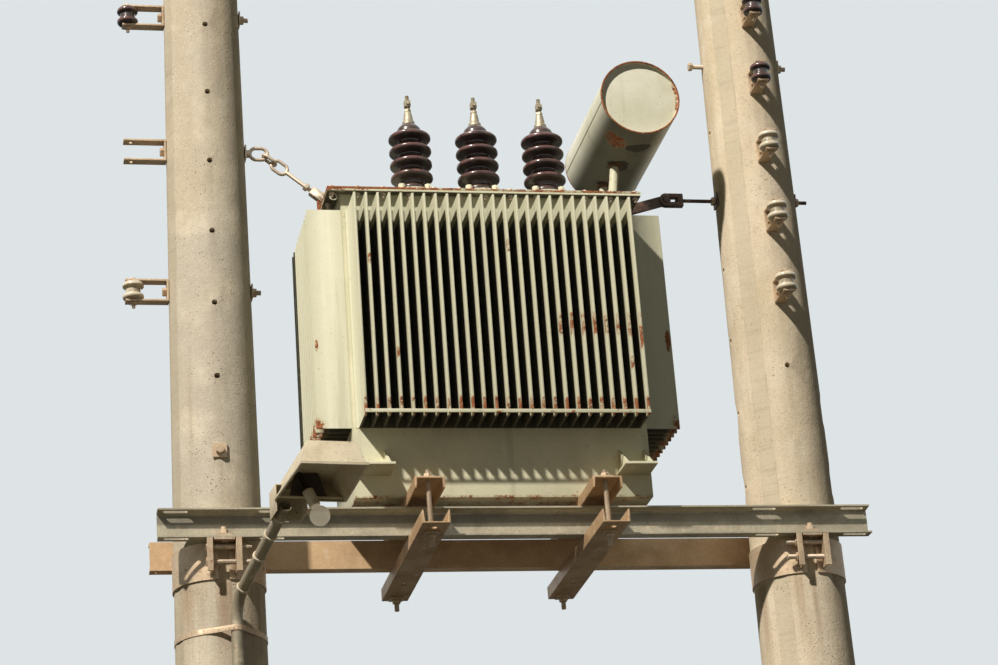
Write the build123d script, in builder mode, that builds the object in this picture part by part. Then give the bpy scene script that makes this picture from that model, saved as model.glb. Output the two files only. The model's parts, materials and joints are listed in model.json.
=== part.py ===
"""Pole mounted transformer: an oil-filled transformer on a steel platform between two concrete poles.

Millimetres. X runs from the left pole to the right pole, Y away from the viewer, Z up.
The origin is the centre of the left pole's foot, at ground level.
"""

import os
from math import atan, cos, degrees, radians, sin, sqrt

from build123d import *

os.makedirs("parts", exist_ok=True)

# Poles: round, tapered, cast in a mould that leaves two narrow flats
pole_height = 7500.0
pole_spacing = 2238.0
left_foot_dia = 402.0
right_foot_dia = 417.0
pole_taper = 0.015
mould_flat = 70.0
left_mould_angle = 200.0
right_mould_angle = 228.0

# Bolt holes through the poles: four columns, their highest holes measured down from the pole's top
pole_hole_dia = 22.0
left_y_hole_drop = 678.0
left_y_hole_pitch = 300.0
left_y_hole_count = 7
left_x_hole_drop = 575.0
left_x_hole_pitch = 598.0
left_x_hole_count = 3
right_y_hole_drop = 575.0
right_y_hole_pitch = 310.0
right_y_hole_count = 6
right_x_hole_drop = 727.0
right_x_hole_pitch = 308.0
right_x_hole_count = 7

# Bolts, nuts and plate washers
bolt_dia = 20.0
nut_width = 30.0
nut_thick = 16.0
washer_side = 55.0
washer_thick = 6.0
bolt_tail = 34.0
seat_gap = 0.3

# Platform beams: two channels that clasp the poles from the front and the back
beam_drop = 2723.0
beam_height = 112.0
beam_flange = 52.0
beam_web = 6.5
beam_flange_thick = 8.5
flange_taper = 0.25
beam_overhang = 240.0
beam_pole_clearance = 2.0
slot_offset = 175.0
slot_length = 95.0
slot_width = 20.0

# Bearers: inverted channels under the tank, and channels clamped below the beams
bearer_spacing = 666.0
upper_width = 112.0
upper_flange = 43.0
upper_web = 6.5
upper_flange_thick = 8.0
upper_reach = 445.0
lower_width = 103.0
lower_flange = 50.0
lower_web = 6.0
lower_flange_thick = 8.0
lower_front_reach = 525.0
lower_back_reach = 445.0
rod_reach = 405.0
rod_hole_dia = 22.0
rod_tail_up = 12.0
rod_tail_down = 30.0
spare_hole_front = 469.0
spare_hole_back = 225.0

# Collars: two half bands round each pole, pulled together by bolts through their lugs
band_thick = 6.0
band_height = 142.0
band_gap = 40.0
lug_inner = 42.0
lug_thick = 8.0
lug_return = 14.0
lug_height = 126.0
lug_front = 227.0
collar_bolt_drops = (29.0, 86.0)
collar_bolt_forward = 26.0
seat_plate_width = 76.0
seat_plate_depth = 44.0
seat_plate_thick = 8.0
seat_washer_inset = 4.0
seat_bolt_tail = 4.0

# Tank
tank_offset = -55.0
tank_setback = 30.0
tank_width = 1140.0
tank_depth = 467.0
tank_height = 1239.5
tank_wall = 6.0
tank_floor = 8.0
rim_thick = 10.0
lid_thick = 10.0
lid_overhang_x = 55.0
lid_overhang_y = 40.0

# Corrugated cooling walls: hollow fins folded from one sheet
fin_pitch = 45.0
fin_thick = 9.0
fin_sheet = 1.5
fin_bottom = 276.0
fin_top_gap = 63.5
front_fin_count = 25
front_fin_depth = 167.0
side_fin_count = 11
side_fin_depth = 133.0
fin_margin = 10.0
side_fin_margin = 3.0
window_margin = 16.0
fin_bar_height = 14.0
fin_bar_thick = 5.0

# Jacking lugs
jack_width = 126.0
jack_depth = 134.0
jack_thick = 10.0
jack_level = 96.0
jack_inset = 8.0
gusset_height = 92.0
gusset_thick = 8.0
gusset_inset = 12.0

# High voltage bushings
hv_spacing = 268.0
hv_forward = 160.0
hv_shed_dia = 169.0
hv_shed_pitch = 58.0
hv_shed_count = 4
hv_core_dia = 96.0
hv_foot_dia = 116.0
hv_foot_height = 62.0
hv_foot_shoulder = 43.0
hv_top_height = 30.0
hv_top_dia = 58.0
hv_shed_rise = 20.0
hv_shed_fall = 21.0
hv_rim_inset = 3.0
hv_rim_rise = 3.5
hv_rim_fall = 7.0
hv_drip_inset = 7.5
hv_drip_fall = 15.0
hv_lid_hole_dia = 48.0
hv_cap_dia = 50.0
hv_cap_height = 58.0
hv_cap_band = 14.0
hv_cap_waist_dia = 40.0
hv_cap_waist = 18.0
hv_cap_top_dia = 28.0
hv_stud_dia = 16.0
hv_stud_height = 22.0
hv_connector_width = 24.0
hv_connector_height = 50.0
clamp_ring_dia = 176.0
clamp_ring_height = 16.0
clamp_bolt_circle = 148.0
clamp_nut_width = 24.0
clamp_bolt_height = 40.0

# Low voltage bushings
lv_spacing = 150.0
lv_count = 4
lv_back = 150.0
lv_body_dia = 70.0
lv_rib_dia = 92.0
lv_lid_hole_dia = 35.0
lv_height = 88.0
lv_stud_dia = 20.0
lv_stud_height = 40.0
lv_flag_width = 50.0
lv_flag_height = 70.0
lv_flag_thick = 10.0
lv_flag_hole_dia = 13.0

# Conservator: the oil expansion drum above the lid's right edge
drum_dia = 323.0
drum_length = 664.0
drum_sheet = 4.0
drum_end_thick = 5.0
drum_end_recess = 18.0
drum_past_wall = 76.0
drum_above_lid = 389.5
leg_dia = 36.0
leg_foot_inset = 5.0
leg_top_past_wall = 52.0
leg_front_y = -25.0
leg_back_y = 165.0
leg_foot_dia = 72.0
leg_foot_thick = 8.0

# Lugs that stand on the lid's left and right edges for the ties
lug_plate_thick = 12.0
lug_corner_share = 0.25
left_lug_width = 64.0
left_lug_height = 86.0
left_lug_rise = 60.0
left_lug_past_wall = 42.0
right_lug_width = 36.0
right_lug_height = 52.0
right_lug_rise = 26.0
right_lug_past_wall = 54.0
lug_hole_dia = 18.0
tie_pin_dia = 16.0
tie_pin_head = 26.0
tie_pin_head_thick = 8.0

# Left tie: eye nut on the pole, link, eye rod with its nut, and clevis on the lid's lug
tie_wire_dia = 14.0
tie_eye_length = 84.0
tie_eye_width = 64.0
tie_link_length = 74.0
tie_link_width = 52.0
tie_ring_length = 82.0
tie_ring_width = 58.0
tie_rod_dia = 16.0
tie_clevis_length = 70.0
tie_clevis_pin = 50.0
tie_clevis_base = 23.0
tie_clevis_width = 34.0
tie_clevis_cheek = 8.0

# Right tie: flat strap, forked link and threaded rod, from the lid's lug to the pole
strap_width = 43.0
strap_thick = 10.0
strap_run = 172.0
tie_drum_clearance = 60.0
fork_length = 98.0
fork_height = 53.0
fork_cheek = 8.0
fork_window_length = 36.0
fork_window_height = 22.0
fork_wall = 22.0
right_rod_dia = 16.0

# Insulator brackets: flat bar bent to a U, bolted to the poles
bar_width = 45.0
bar_thick = 8.0
bracket_height = 92.0
left_bracket_length = 166.0
right_bracket_length = 128.0
bracket_pin_dia = 14.0
bracket_pin_inset = 27.0
bracket_pin_tail = 14.0
spool_dia = 84.0
spool_neck_dia = 56.0
spool_height = 75.0
spool_bore_dia = 15.0
spool_face_dia = 67.0
spool_rim_outer = 26.0
spool_rim_inner = 17.0
spool_groove_flat = 15.0
step_bolt_reach = 46.0

# Street lamp on a bent pipe arm
arm_pipe_dia = 43.0
arm_pipe_wall = 3.0
arm_x = 38.0
arm_bend_drop = 233.0
arm_rise = 482.0
arm_bend_radius = 130.0
arm_span_x = 132.0
arm_span_y = 475.6
arm_climb = 202.0
strap_band_width = 20.0
strap_band_thick = 2.5
arm_strap_drops = (102.0, 372.0)
hood_offset = (84.0, -34.0, 6.0)
hood_turn = 5.0
hood_length = 382.0
hood_width = 248.0
hood_front_width = 226.0
hood_roof_width = 172.0
hood_roof_back = 75.0
hood_roof_front = 32.0
hood_height = 96.0
hood_sheet = 3.0
hood_lip = 5.0
hood_lip_height = 9.0
hood_neck_length = 106.0
hood_neck_width = 112.0
hood_neck_height = 100.0
hood_neck_drop = 40.0
socket_dia = 40.0
socket_length = 62.0
socket_grip = 10.0
socket_stem_dia = 14.0
bulb_offset = (23.0, -47.0, -70.0)
bulb_lean = (-0.37, 0.08, 0.93)
bulb_dia = 72.0
bulb_neck_dia = 30.0
bulb_neck_length = 14.0

# Levels and places that follow from the sizes above
beam_top = pole_height - beam_drop
beam_bottom = beam_top - beam_height
tank_bottom = beam_top + upper_flange
tank_x = pole_spacing / 2 + tank_offset
tank_y = tank_setback
tank_front = tank_y - tank_depth / 2
tank_back = tank_y + tank_depth / 2
tank_left = tank_x - tank_width / 2
tank_right = tank_x + tank_width / 2
rim_bottom = tank_bottom + tank_height
lid_bottom = rim_bottom + rim_thick
lid_top = lid_bottom + lid_thick
fin_base = tank_bottom + fin_bottom
fin_height = tank_height - fin_bottom - fin_top_gap
bearer_xs = (tank_x - bearer_spacing / 2, tank_x + bearer_spacing / 2)
lower_bottom = beam_bottom - lower_flange
collar_bottom = beam_bottom - band_height
hv_body_height = hv_foot_height + hv_shed_count * hv_shed_pitch + hv_top_height
drum_x = tank_right + drum_past_wall
drum_z = lid_top + drum_above_lid
left_lug_hole = (tank_left - left_lug_past_wall, lid_top + left_lug_rise)
right_lug_hole = (tank_right + right_lug_past_wall, lid_top + right_lug_rise)
hv_places = [(tank_x + hv_spacing * i, tank_y - hv_forward) for i in (-1, 0, 1)]
lv_first = tank_x - lv_spacing * (lv_count - 1) / 2
lv_places = [(lv_first + lv_spacing * i, tank_y + lv_back) for i in range(lv_count)]


def pole_radius(foot_dia, level):
    """Radius of a pole at a height above the ground."""
    return (foot_dia - pole_taper * level) / 2


beam_face = pole_radius(right_foot_dia, beam_bottom) + beam_pole_clearance
left_pole = (0.0, left_foot_dia)
right_pole = (pole_spacing, right_foot_dia)


def hole_levels(drop, pitch, count):
    """Heights of a column of bolt holes, from the lowest to the highest."""
    lowest = pole_height - drop - pitch * (count - 1)
    return [lowest + pitch * i for i in range(count)]


left_y_holes = hole_levels(left_y_hole_drop, left_y_hole_pitch, left_y_hole_count)
left_x_holes = hole_levels(left_x_hole_drop, left_x_hole_pitch, left_x_hole_count)
right_y_holes = hole_levels(right_y_hole_drop, right_y_hole_pitch, right_y_hole_count)
right_x_holes = hole_levels(right_x_hole_drop, right_x_hole_pitch, right_x_hole_count)

# The left tie runs from the eye on the pole's middle bolt to the lug on the lid
tie_level = left_x_holes[1]
tie_start = pole_radius(left_foot_dia, tie_level - washer_side / 2) + seat_gap
eye_bend = (tie_eye_width - tie_wire_dia) / 2
eye_middle = tie_start + washer_thick + nut_thick + tie_eye_length - tie_wire_dia / 2 - tie_eye_width / 2
lug_hole_place = Vector(left_lug_hole[0], 0, left_lug_hole[1])
eye_place = Vector(eye_middle, 0, tie_level)
tie_way = (lug_hole_place - eye_place).normalized()
tie_hook = eye_place + tie_way * eye_bend
tie_run = (lug_hole_place - tie_hook).length
wire_seat = tie_wire_dia + seat_gap
link_start = -wire_seat
ring_start = link_start + tie_link_length - tie_wire_dia - wire_seat
clevis_start = tie_run - tie_clevis_pin

# The right tie runs level with the right pole's highest bolt hole that leaves the conservator clear
tie_ceiling = drum_z - drum_dia / 2 - tie_drum_clearance
fork_level = max(level for level in right_x_holes if level < tie_ceiling)
fork_x = right_lug_hole[0] + strap_run
fork_end = fork_x + fork_length - fork_height / 2
fork_window_end = fork_end - fork_wall
step_bolt_level = right_x_holes[6]
empty_bracket_level = left_x_holes[1]
left_spool_levels = (left_x_holes[0], left_x_holes[2])
right_bracket_levels = right_y_holes[1:]

# The lamp's arm bends out below the front beam, and the lamp hangs on its end
arm_bend_height = beam_bottom - arm_bend_drop
arm_bottom = arm_bend_height - arm_rise
arm_reach = pole_radius(left_foot_dia, arm_bottom) + arm_pipe_dia / 2 + seat_gap
arm_y = -sqrt(arm_reach**2 - arm_x**2)
arm_end = Vector(arm_x + arm_span_x, arm_y - arm_span_y, arm_bend_height + arm_climb)
arm_way = Vector(arm_x, arm_y, arm_bend_height) - arm_end
hood_place = arm_end + Vector(*hood_offset)
bulb_place = hood_place + Vector(*bulb_offset)
hood_frame = Plane(hood_place, x_dir=(cos(radians(hood_turn)), sin(radians(hood_turn)), 0), z_dir=(0, 0, 1))
bulb_axis = Plane(bulb_place, z_dir=bulb_lean)


def save(piece, name):
    """Label a finished piece and write it as the node of that name."""
    piece.part.label = name
    export_step(piece.part, f"parts/{name}.step")


def make_pole(pole, mould_angle, y_levels, x_levels):
    """One tapered pole with its two mould flats and its bolt holes."""
    x, foot_dia = pole
    radius = foot_dia / 2
    flat_reach = sqrt(radius**2 - (mould_flat / 2) ** 2)
    with BuildPart() as piece:
        with BuildSketch(Plane.XY):
            with Locations((x, 0)):
                Circle(radius)
                with PolarLocations(flat_reach + radius / 2, 2, mould_angle):
                    Rectangle(radius, radius, mode=Mode.SUBTRACT)
        extrude(amount=pole_height, taper=degrees(atan(pole_taper / 2)))
        with Locations([(x, 0, z) for z in y_levels]):
            Cylinder(pole_hole_dia / 2, 2 * foot_dia, rotation=(90, 0, 0), mode=Mode.SUBTRACT)
        with Locations([(x, 0, z) for z in x_levels]):
            Cylinder(pole_hole_dia / 2, 2 * foot_dia, rotation=(0, 90, 0), mode=Mode.SUBTRACT)
    return piece


def channel_outline(height, flange, web, flange_thick):
    """Section of a rolled channel, its back on the X axis and its tapered flanges towards +Y."""
    half = height / 2
    tip = (1 - flange_taper) * flange_thick
    root = (1 + flange_taper) * flange_thick
    return [
        (-half, 0),
        (half, 0),
        (half, flange),
        (half - tip, flange),
        (half - root, web),
        (-half + root, web),
        (-half + tip, flange),
        (-half, flange),
    ]


def make_beam(side):
    """A platform beam, its back to the poles. side is -1 for the front beam and 1 for the back."""
    length = pole_spacing + 2 * beam_overhang
    section = Plane(
        origin=(-beam_overhang, side * beam_face, beam_bottom + beam_height / 2),
        x_dir=(0, 0, -side),
        z_dir=(1, 0, 0),
    )
    slot_y = side * (beam_face + (beam_web + beam_flange) / 2)
    with BuildPart() as piece:
        with BuildSketch(section):
            Polygon(*channel_outline(beam_height, beam_flange, beam_web, beam_flange_thick), align=None)
        extrude(amount=length)
        with BuildSketch(Plane.XY.offset(beam_bottom)):
            for pole_x in (0, pole_spacing):
                with Locations((pole_x - slot_offset, slot_y), (pole_x + slot_offset, slot_y)):
                    SlotOverall(slot_length, slot_width)
        extrude(amount=beam_height, mode=Mode.SUBTRACT)
        with BuildSketch(Plane.XY.offset(beam_bottom)):
            with Locations((0, slot_y), (pole_spacing, slot_y)):
                Circle(rod_hole_dia / 2)
        extrude(amount=beam_height / 2, mode=Mode.SUBTRACT)
    return piece


def make_upper_bearer(x):
    """An inverted channel that carries the tank across the two beams."""
    section = Plane(origin=(x, -upper_reach, tank_bottom), x_dir=(1, 0, 0), z_dir=(0, 1, 0))
    with BuildPart() as piece:
        with BuildSketch(section):
            Polygon(*channel_outline(upper_width, upper_flange, upper_web, upper_flange_thick), align=None)
        extrude(amount=2 * upper_reach)
        with BuildSketch(Plane.XY.offset(tank_bottom)):
            with Locations((x, -rod_reach), (x, rod_reach)):
                Circle(rod_hole_dia / 2)
        extrude(amount=-upper_flange, mode=Mode.SUBTRACT)
    return piece


def make_lower_bearer(x):
    """A channel below the beams, pulled up against them by the clamp rods."""
    section = Plane(origin=(x, -lower_front_reach, lower_bottom), x_dir=(-1, 0, 0), z_dir=(0, 1, 0))
    with BuildPart() as piece:
        with BuildSketch(section):
            Polygon(*channel_outline(lower_width, lower_flange, lower_web, lower_flange_thick), align=None)
        extrude(amount=lower_front_reach + lower_back_reach)
        with BuildSketch(Plane.XY.offset(lower_bottom)):
            with Locations(*[(x, y) for y in (-spare_hole_front, -rod_reach, spare_hole_back, rod_reach)]):
                Circle(rod_hole_dia / 2)
        extrude(amount=lower_flange, mode=Mode.SUBTRACT)
    return piece


def nut_on(plane, width=nut_width, thick=nut_thick):
    """A hexagon nut or bolt head that stands on a plane."""
    with BuildSketch(plane) as outline:
        RegularPolygon(width / 2, 6, major_radius=False)
    extrude(outline.sketch, amount=thick)


def plate_on(plane, side=washer_side, thick=washer_thick):
    """A square plate washer that stands on a plane."""
    with BuildSketch(plane) as outline:
        Rectangle(side, side)
    extrude(outline.sketch, amount=thick)


def shank_on(plane, dia, length):
    """A round shank that runs out of a plane."""
    with BuildSketch(plane) as outline:
        Circle(dia / 2)
    extrude(outline.sketch, amount=length)


def make_clamp_rods():
    """The four rods that clamp the bearers to the beams, each with its nuts and plates."""
    washer_top = tank_bottom + seat_gap
    washer_low = lower_bottom - seat_gap
    with BuildPart() as piece:
        for x, y in [(x, y) for x in bearer_xs for y in (-rod_reach, rod_reach)]:
            rod_low = washer_low - washer_thick - nut_thick - rod_tail_down
            rod_high = washer_top + washer_thick + nut_thick + rod_tail_up
            shank_on(Plane((x, y, rod_low)), bolt_dia, rod_high - rod_low)
            plate_on(Plane((x, y, washer_top)))
            nut_on(Plane((x, y, washer_top + washer_thick)))
            plate_on(Plane((x, y, washer_low), z_dir=(0, 0, -1)))
            nut_on(Plane((x, y, washer_low - washer_thick), z_dir=(0, 0, -1)))
    return piece


def make_half_band(pole, side):
    """Half of a collar: a tapered half band and the two folded lugs at its ends."""
    x, foot_dia = pole
    low = pole_radius(foot_dia, collar_bottom) + seat_gap
    high = pole_radius(foot_dia, beam_bottom) + seat_gap
    lug_top = beam_bottom
    lug_low = lug_top - lug_height
    lug_x = side * (lug_inner + lug_thick / 2)
    return_x = side * (lug_inner + (lug_thick + lug_return) / 2)
    with BuildPart() as piece:
        with BuildSketch(Plane.XZ):
            Polygon(
                (low, collar_bottom),
                (low + band_thick, collar_bottom),
                (high + band_thick, beam_bottom),
                (high, beam_bottom),
                align=None,
            )
        revolve(axis=Axis.Z)
        with Locations((-side * foot_dia / 2, 0, beam_bottom)):
            Box(foot_dia + band_gap, 2 * foot_dia, 3 * band_height, mode=Mode.SUBTRACT)
        for end in (-1, 1):
            lug_root = sqrt(low**2 - (lug_inner + lug_thick) ** 2) + band_thick / 2
            with Locations((lug_x, end * (lug_root + lug_front) / 2, (lug_top + lug_low) / 2)):
                Box(lug_thick, lug_front - lug_root, lug_height)
            with Locations((return_x, end * (lug_front - lug_thick / 2), (lug_top + lug_low) / 2)):
                Box(lug_thick + lug_return, lug_thick, lug_height)
            bolt_y = end * (lug_front - collar_bolt_forward)
            with Locations([(lug_x, bolt_y, lug_top - drop) for drop in collar_bolt_drops]):
                Cylinder(rod_hole_dia / 2, 3 * lug_thick, rotation=(0, 90, 0), mode=Mode.SUBTRACT)
    piece.part.position = (x, 0, 0)
    return piece


def make_collar_bolts(pole, side):
    """The four long bolts of one collar. side is the way their threaded tails point."""
    x = pole[0]
    head_x = x - side * (lug_inner + lug_thick + seat_gap)
    nut_x = x + side * (lug_inner + lug_thick + seat_gap)
    length = 2 * (lug_inner + lug_thick + seat_gap) + nut_thick + bolt_tail
    with BuildPart() as piece:
        for end in (-1, 1):
            for drop in collar_bolt_drops:
                y = end * (lug_front - collar_bolt_forward)
                z = beam_bottom - drop
                shank_on(Plane((head_x, y, z), z_dir=(side, 0, 0)), bolt_dia, length)
                nut_on(Plane((head_x, y, z), z_dir=(-side, 0, 0)))
                nut_on(Plane((nut_x, y, z), z_dir=(side, 0, 0)))
    return piece


def beam_flange_inner(reach):
    """Thickness of a beam's tapered flange at a distance from the channel's back."""
    share = (reach - beam_web) / (beam_flange - beam_web)
    return beam_flange_thick * (1 + flange_taper - 2 * flange_taper * share)


def make_seat_bolts():
    """The upright bolts that hold the beams' lower flanges to the collars, with taper washers."""
    reach = (beam_web + beam_flange) / 2
    near = beam_web + seat_washer_inset
    far = beam_flange - seat_washer_inset
    washer_top = beam_bottom + beam_flange_inner(near) + seat_gap + washer_thick
    plate_top = beam_bottom - seat_gap
    bolt_low = plate_top - seat_plate_thick - seat_bolt_tail
    bolt_high = washer_top + nut_thick + rod_tail_up
    with BuildPart() as piece:
        for x, end in ((0, -1), (0, 1), (pole_spacing, -1), (pole_spacing, 1)):
            y = end * (beam_face + reach)
            with BuildSketch(Plane.YZ.offset(x - washer_side / 2)):
                Polygon(
                    (end * (beam_face + near), beam_bottom + beam_flange_inner(near) + seat_gap),
                    (end * (beam_face + far), beam_bottom + beam_flange_inner(far) + seat_gap),
                    (end * (beam_face + far), washer_top),
                    (end * (beam_face + near), washer_top),
                    align=None,
                )
            extrude(amount=washer_side)
            shank_on(Plane((x, y, bolt_low)), bolt_dia, bolt_high - bolt_low)
            nut_on(Plane((x, y, washer_top)))
            with BuildSketch(Plane.XY.offset(plate_top)):
                with Locations((x, y)):
                    Rectangle(seat_plate_width, seat_plate_depth)
            extrude(amount=-seat_plate_thick)
    return piece


def make_tank():
    """The tank shell: floor, walls with windows behind the fins, and the rim that carries the lid."""
    window_height = fin_height - 2 * fin_margin
    window_level = fin_base + fin_height / 2
    with BuildPart() as piece:
        with Locations((tank_x, tank_y, tank_bottom)):
            Box(tank_width, tank_depth, tank_height, align=(Align.CENTER, Align.CENTER, Align.MIN))
        with Locations((tank_x, tank_y, rim_bottom)):
            Box(
                tank_width + 2 * lid_overhang_x,
                tank_depth + 2 * lid_overhang_y,
                rim_thick,
                align=(Align.CENTER, Align.CENTER, Align.MIN),
            )
        with Locations((tank_x, tank_y, tank_bottom + tank_floor)):
            Box(
                tank_width - 2 * tank_wall,
                tank_depth - 2 * tank_wall,
                tank_height + rim_thick,
                align=(Align.CENTER, Align.CENTER, Align.MIN),
                mode=Mode.SUBTRACT,
            )
        with Locations((tank_x, tank_y, window_level)):
            Box(tank_width - 2 * window_margin, 2 * tank_depth, window_height, mode=Mode.SUBTRACT)
            Box(2 * tank_width, tank_depth - 2 * window_margin, window_height, mode=Mode.SUBTRACT)
    return piece


def make_lid():
    """The lid plate, with a hole under each bushing."""
    with BuildPart() as piece:
        with BuildSketch(Plane.XY.offset(lid_bottom)):
            with Locations((tank_x, tank_y)):
                Rectangle(tank_width + 2 * lid_overhang_x, tank_depth + 2 * lid_overhang_y)
            with Locations(*hv_places):
                Circle(hv_lid_hole_dia / 2, mode=Mode.SUBTRACT)
            with Locations(*lv_places):
                Circle(lv_lid_hole_dia / 2, mode=Mode.SUBTRACT)
        extrude(amount=lid_thick)
    return piece


def make_fin_panel(wall, along, count, depth, margin):
    """A corrugated wall: hollow fins folded from one sheet, open to the tank behind it.

    wall is the middle of the tank's face at the fins' foot, and along runs to the fins' left.
    """
    foot = Plane(origin=wall, x_dir=along, z_dir=(0, 0, 1))
    first = -(count - 1) * fin_pitch / 2
    fin_xs = [first + fin_pitch * i for i in range(count)]
    with BuildPart() as piece:
        with BuildSketch(foot):
            with Locations((0, fin_sheet / 2)):
                Rectangle((count - 1) * fin_pitch + fin_thick + 2 * margin, fin_sheet)
            with Locations(*[(x, depth / 2) for x in fin_xs]):
                Rectangle(fin_thick, depth)
        extrude(amount=fin_height)
        with BuildSketch(foot.offset(fin_sheet)):
            with Locations(*[(x, (depth - fin_sheet) / 2) for x in fin_xs]):
                Rectangle(fin_thick - 2 * fin_sheet, depth - fin_sheet)
        extrude(amount=fin_height - 2 * fin_sheet, mode=Mode.SUBTRACT)
    return piece


def make_fin_bars():
    """The flat bars welded across the feet of the front and the back fins."""
    reach = tank_depth / 2 + front_fin_depth + fin_bar_thick / 2
    with BuildPart() as piece:
        with Locations(*[(tank_x, tank_y + side * reach, fin_base + fin_bar_height / 2) for side in (-1, 1)]):
            Box((front_fin_count - 1) * fin_pitch + fin_thick, fin_bar_thick, fin_bar_height)
    return piece


def make_jacking_lugs():
    """The four shelves at the tank's lower corners, each with its two gussets."""
    top = tank_bottom + jack_level
    with BuildPart() as piece:
        for side in (-1, 1):
            for end in (-1, 1):
                x = tank_x + side * (tank_width / 2 - jack_inset - jack_width / 2)
                wall = tank_y + end * tank_depth / 2
                with Locations((x, wall + end * jack_depth / 2, top - jack_thick / 2)):
                    Box(jack_width, jack_depth, jack_thick)
                for gusset in (-1, 1):
                    edge = x + gusset * (jack_width / 2 - gusset_inset - gusset_thick / 2)
                    with BuildSketch(Plane.YZ.offset(edge - gusset_thick / 2)):
                        Polygon(
                            (wall, top),
                            (wall + end * (jack_depth - gusset_inset), top),
                            (wall, top + gusset_height),
                            align=None,
                        )
                    extrude(amount=gusset_thick)
    return piece


def shed_outline(core, rim, level):
    """One shed of a bushing: rounded rim, sloping top and drip edge below."""
    return [
        (core, level - hv_shed_fall),
        (rim - hv_drip_inset, level - hv_drip_fall),
        (rim, level - hv_rim_fall),
        (rim - hv_rim_inset, level + hv_rim_rise),
        (core, level + hv_shed_rise),
    ]


def make_hv_bushing(place):
    """A porcelain high voltage bushing with its sheds, standing on the lid."""
    core = hv_core_dia / 2
    foot = hv_foot_dia / 2
    points = [(0, 0), (foot, 0), (foot, hv_foot_shoulder), (core, hv_foot_height)]
    for i in range(hv_shed_count):
        level = hv_foot_height + hv_shed_pitch * (i + 0.5)
        points += shed_outline(core, hv_shed_dia / 2, level)
    points += [(hv_top_dia / 2, hv_body_height), (0, hv_body_height)]
    with BuildPart() as piece:
        with BuildSketch(Plane.XZ):
            Polygon(*points, align=None)
        revolve(axis=Axis.Z)
    piece.part.position = (*place, lid_top)
    return piece


def make_hv_clamps():
    """The rings and bolts that hold the high voltage bushings down on the lid."""
    with BuildPart() as piece:
        with BuildSketch(Plane.XY.offset(lid_top)):
            with Locations(*hv_places):
                Circle(clamp_ring_dia / 2)
                Circle(hv_foot_dia / 2 + seat_gap, mode=Mode.SUBTRACT)
        extrude(amount=clamp_ring_height)
        with BuildSketch(Plane.XY.offset(lid_top + clamp_ring_height)):
            with Locations(*hv_places):
                with PolarLocations(clamp_bolt_circle / 2, 4, 45):
                    RegularPolygon(clamp_nut_width / 2, 6, major_radius=False)
        extrude(amount=clamp_bolt_height - clamp_ring_height)
    return piece


def make_hv_terminals():
    """The metal cap, stud and clamp block on top of each high voltage bushing."""
    cap_foot = lid_top + hv_body_height
    stud_foot = cap_foot + hv_cap_height
    block_foot = stud_foot + hv_stud_height
    profile = [(0, 0), (hv_cap_dia / 2, 0), (hv_cap_dia / 2, hv_cap_band)]
    profile += [(hv_cap_waist_dia / 2, hv_cap_waist), (hv_cap_top_dia / 2, hv_cap_height), (0, hv_cap_height)]
    with BuildPart() as piece:
        for x, y in hv_places:
            with BuildSketch(Plane.XZ) as outline:
                Polygon(*profile, align=None)
            with Locations((x, y, cap_foot)):
                add(revolve(outline.sketch, axis=Axis.Z, mode=Mode.PRIVATE))
            shank_on(Plane((x, y, stud_foot)), hv_stud_dia, hv_stud_height + hv_connector_height)
            block = Plane((x, y, block_foot))
            plate_on(block, hv_connector_width, hv_connector_height - hv_stud_height)
    return piece


def make_lv_bushings():
    """The four low voltage bushings at the back of the lid."""
    body = lv_body_dia / 2
    rib = lv_rib_dia / 2
    step = lv_height / 6
    points = [(0, 0), (rib, 0), (rib, step), (body, 2 * step), (rib, 3 * step), (rib, 4 * step)]
    points += [(body, 5 * step), (body, lv_height), (0, lv_height)]
    with BuildPart() as piece:
        with Locations(*[(x, y, lid_top) for x, y in lv_places]):
            with BuildSketch(Plane.XZ) as outline:
                Polygon(*points, align=None)
            add(revolve(outline.sketch, axis=Axis.Z, mode=Mode.PRIVATE))
    return piece


def make_lv_terminals():
    """The studs of the low voltage bushings and their upright flags."""
    foot = lid_top + lv_height
    flag_foot = foot + lv_stud_height
    with BuildPart() as piece:
        for x, y in lv_places:
            shank_on(Plane((x, y, foot)), lv_stud_dia, lv_stud_height)
            with BuildSketch(Plane.XZ.offset(-y - lv_flag_thick / 2)):
                with Locations((x, flag_foot + lv_flag_height / 2)):
                    Rectangle(lv_flag_width, lv_flag_height)
                    Circle(lv_flag_hole_dia / 2, mode=Mode.SUBTRACT)
            extrude(amount=lv_flag_thick)
    return piece


def make_drum_shell():
    """The conservator's rolled shell, open at both ends."""
    with BuildPart() as piece:
        with BuildSketch(Plane.XZ.offset(-tank_y - drum_length / 2)):
            with Locations((drum_x, drum_z)):
                Circle(drum_dia / 2)
                Circle(drum_dia / 2 - drum_sheet, mode=Mode.SUBTRACT)
        extrude(amount=drum_length)
    return piece


def make_drum_ends():
    """The two flat end discs, set back inside the conservator's rims."""
    reach = drum_length / 2 - drum_end_recess - drum_end_thick / 2
    with BuildPart() as piece:
        with Locations((drum_x, tank_y - reach, drum_z), (drum_x, tank_y + reach, drum_z)):
            Cylinder(drum_dia / 2 - drum_sheet - seat_gap, drum_end_thick, rotation=(90, 0, 0))
    return piece


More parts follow.
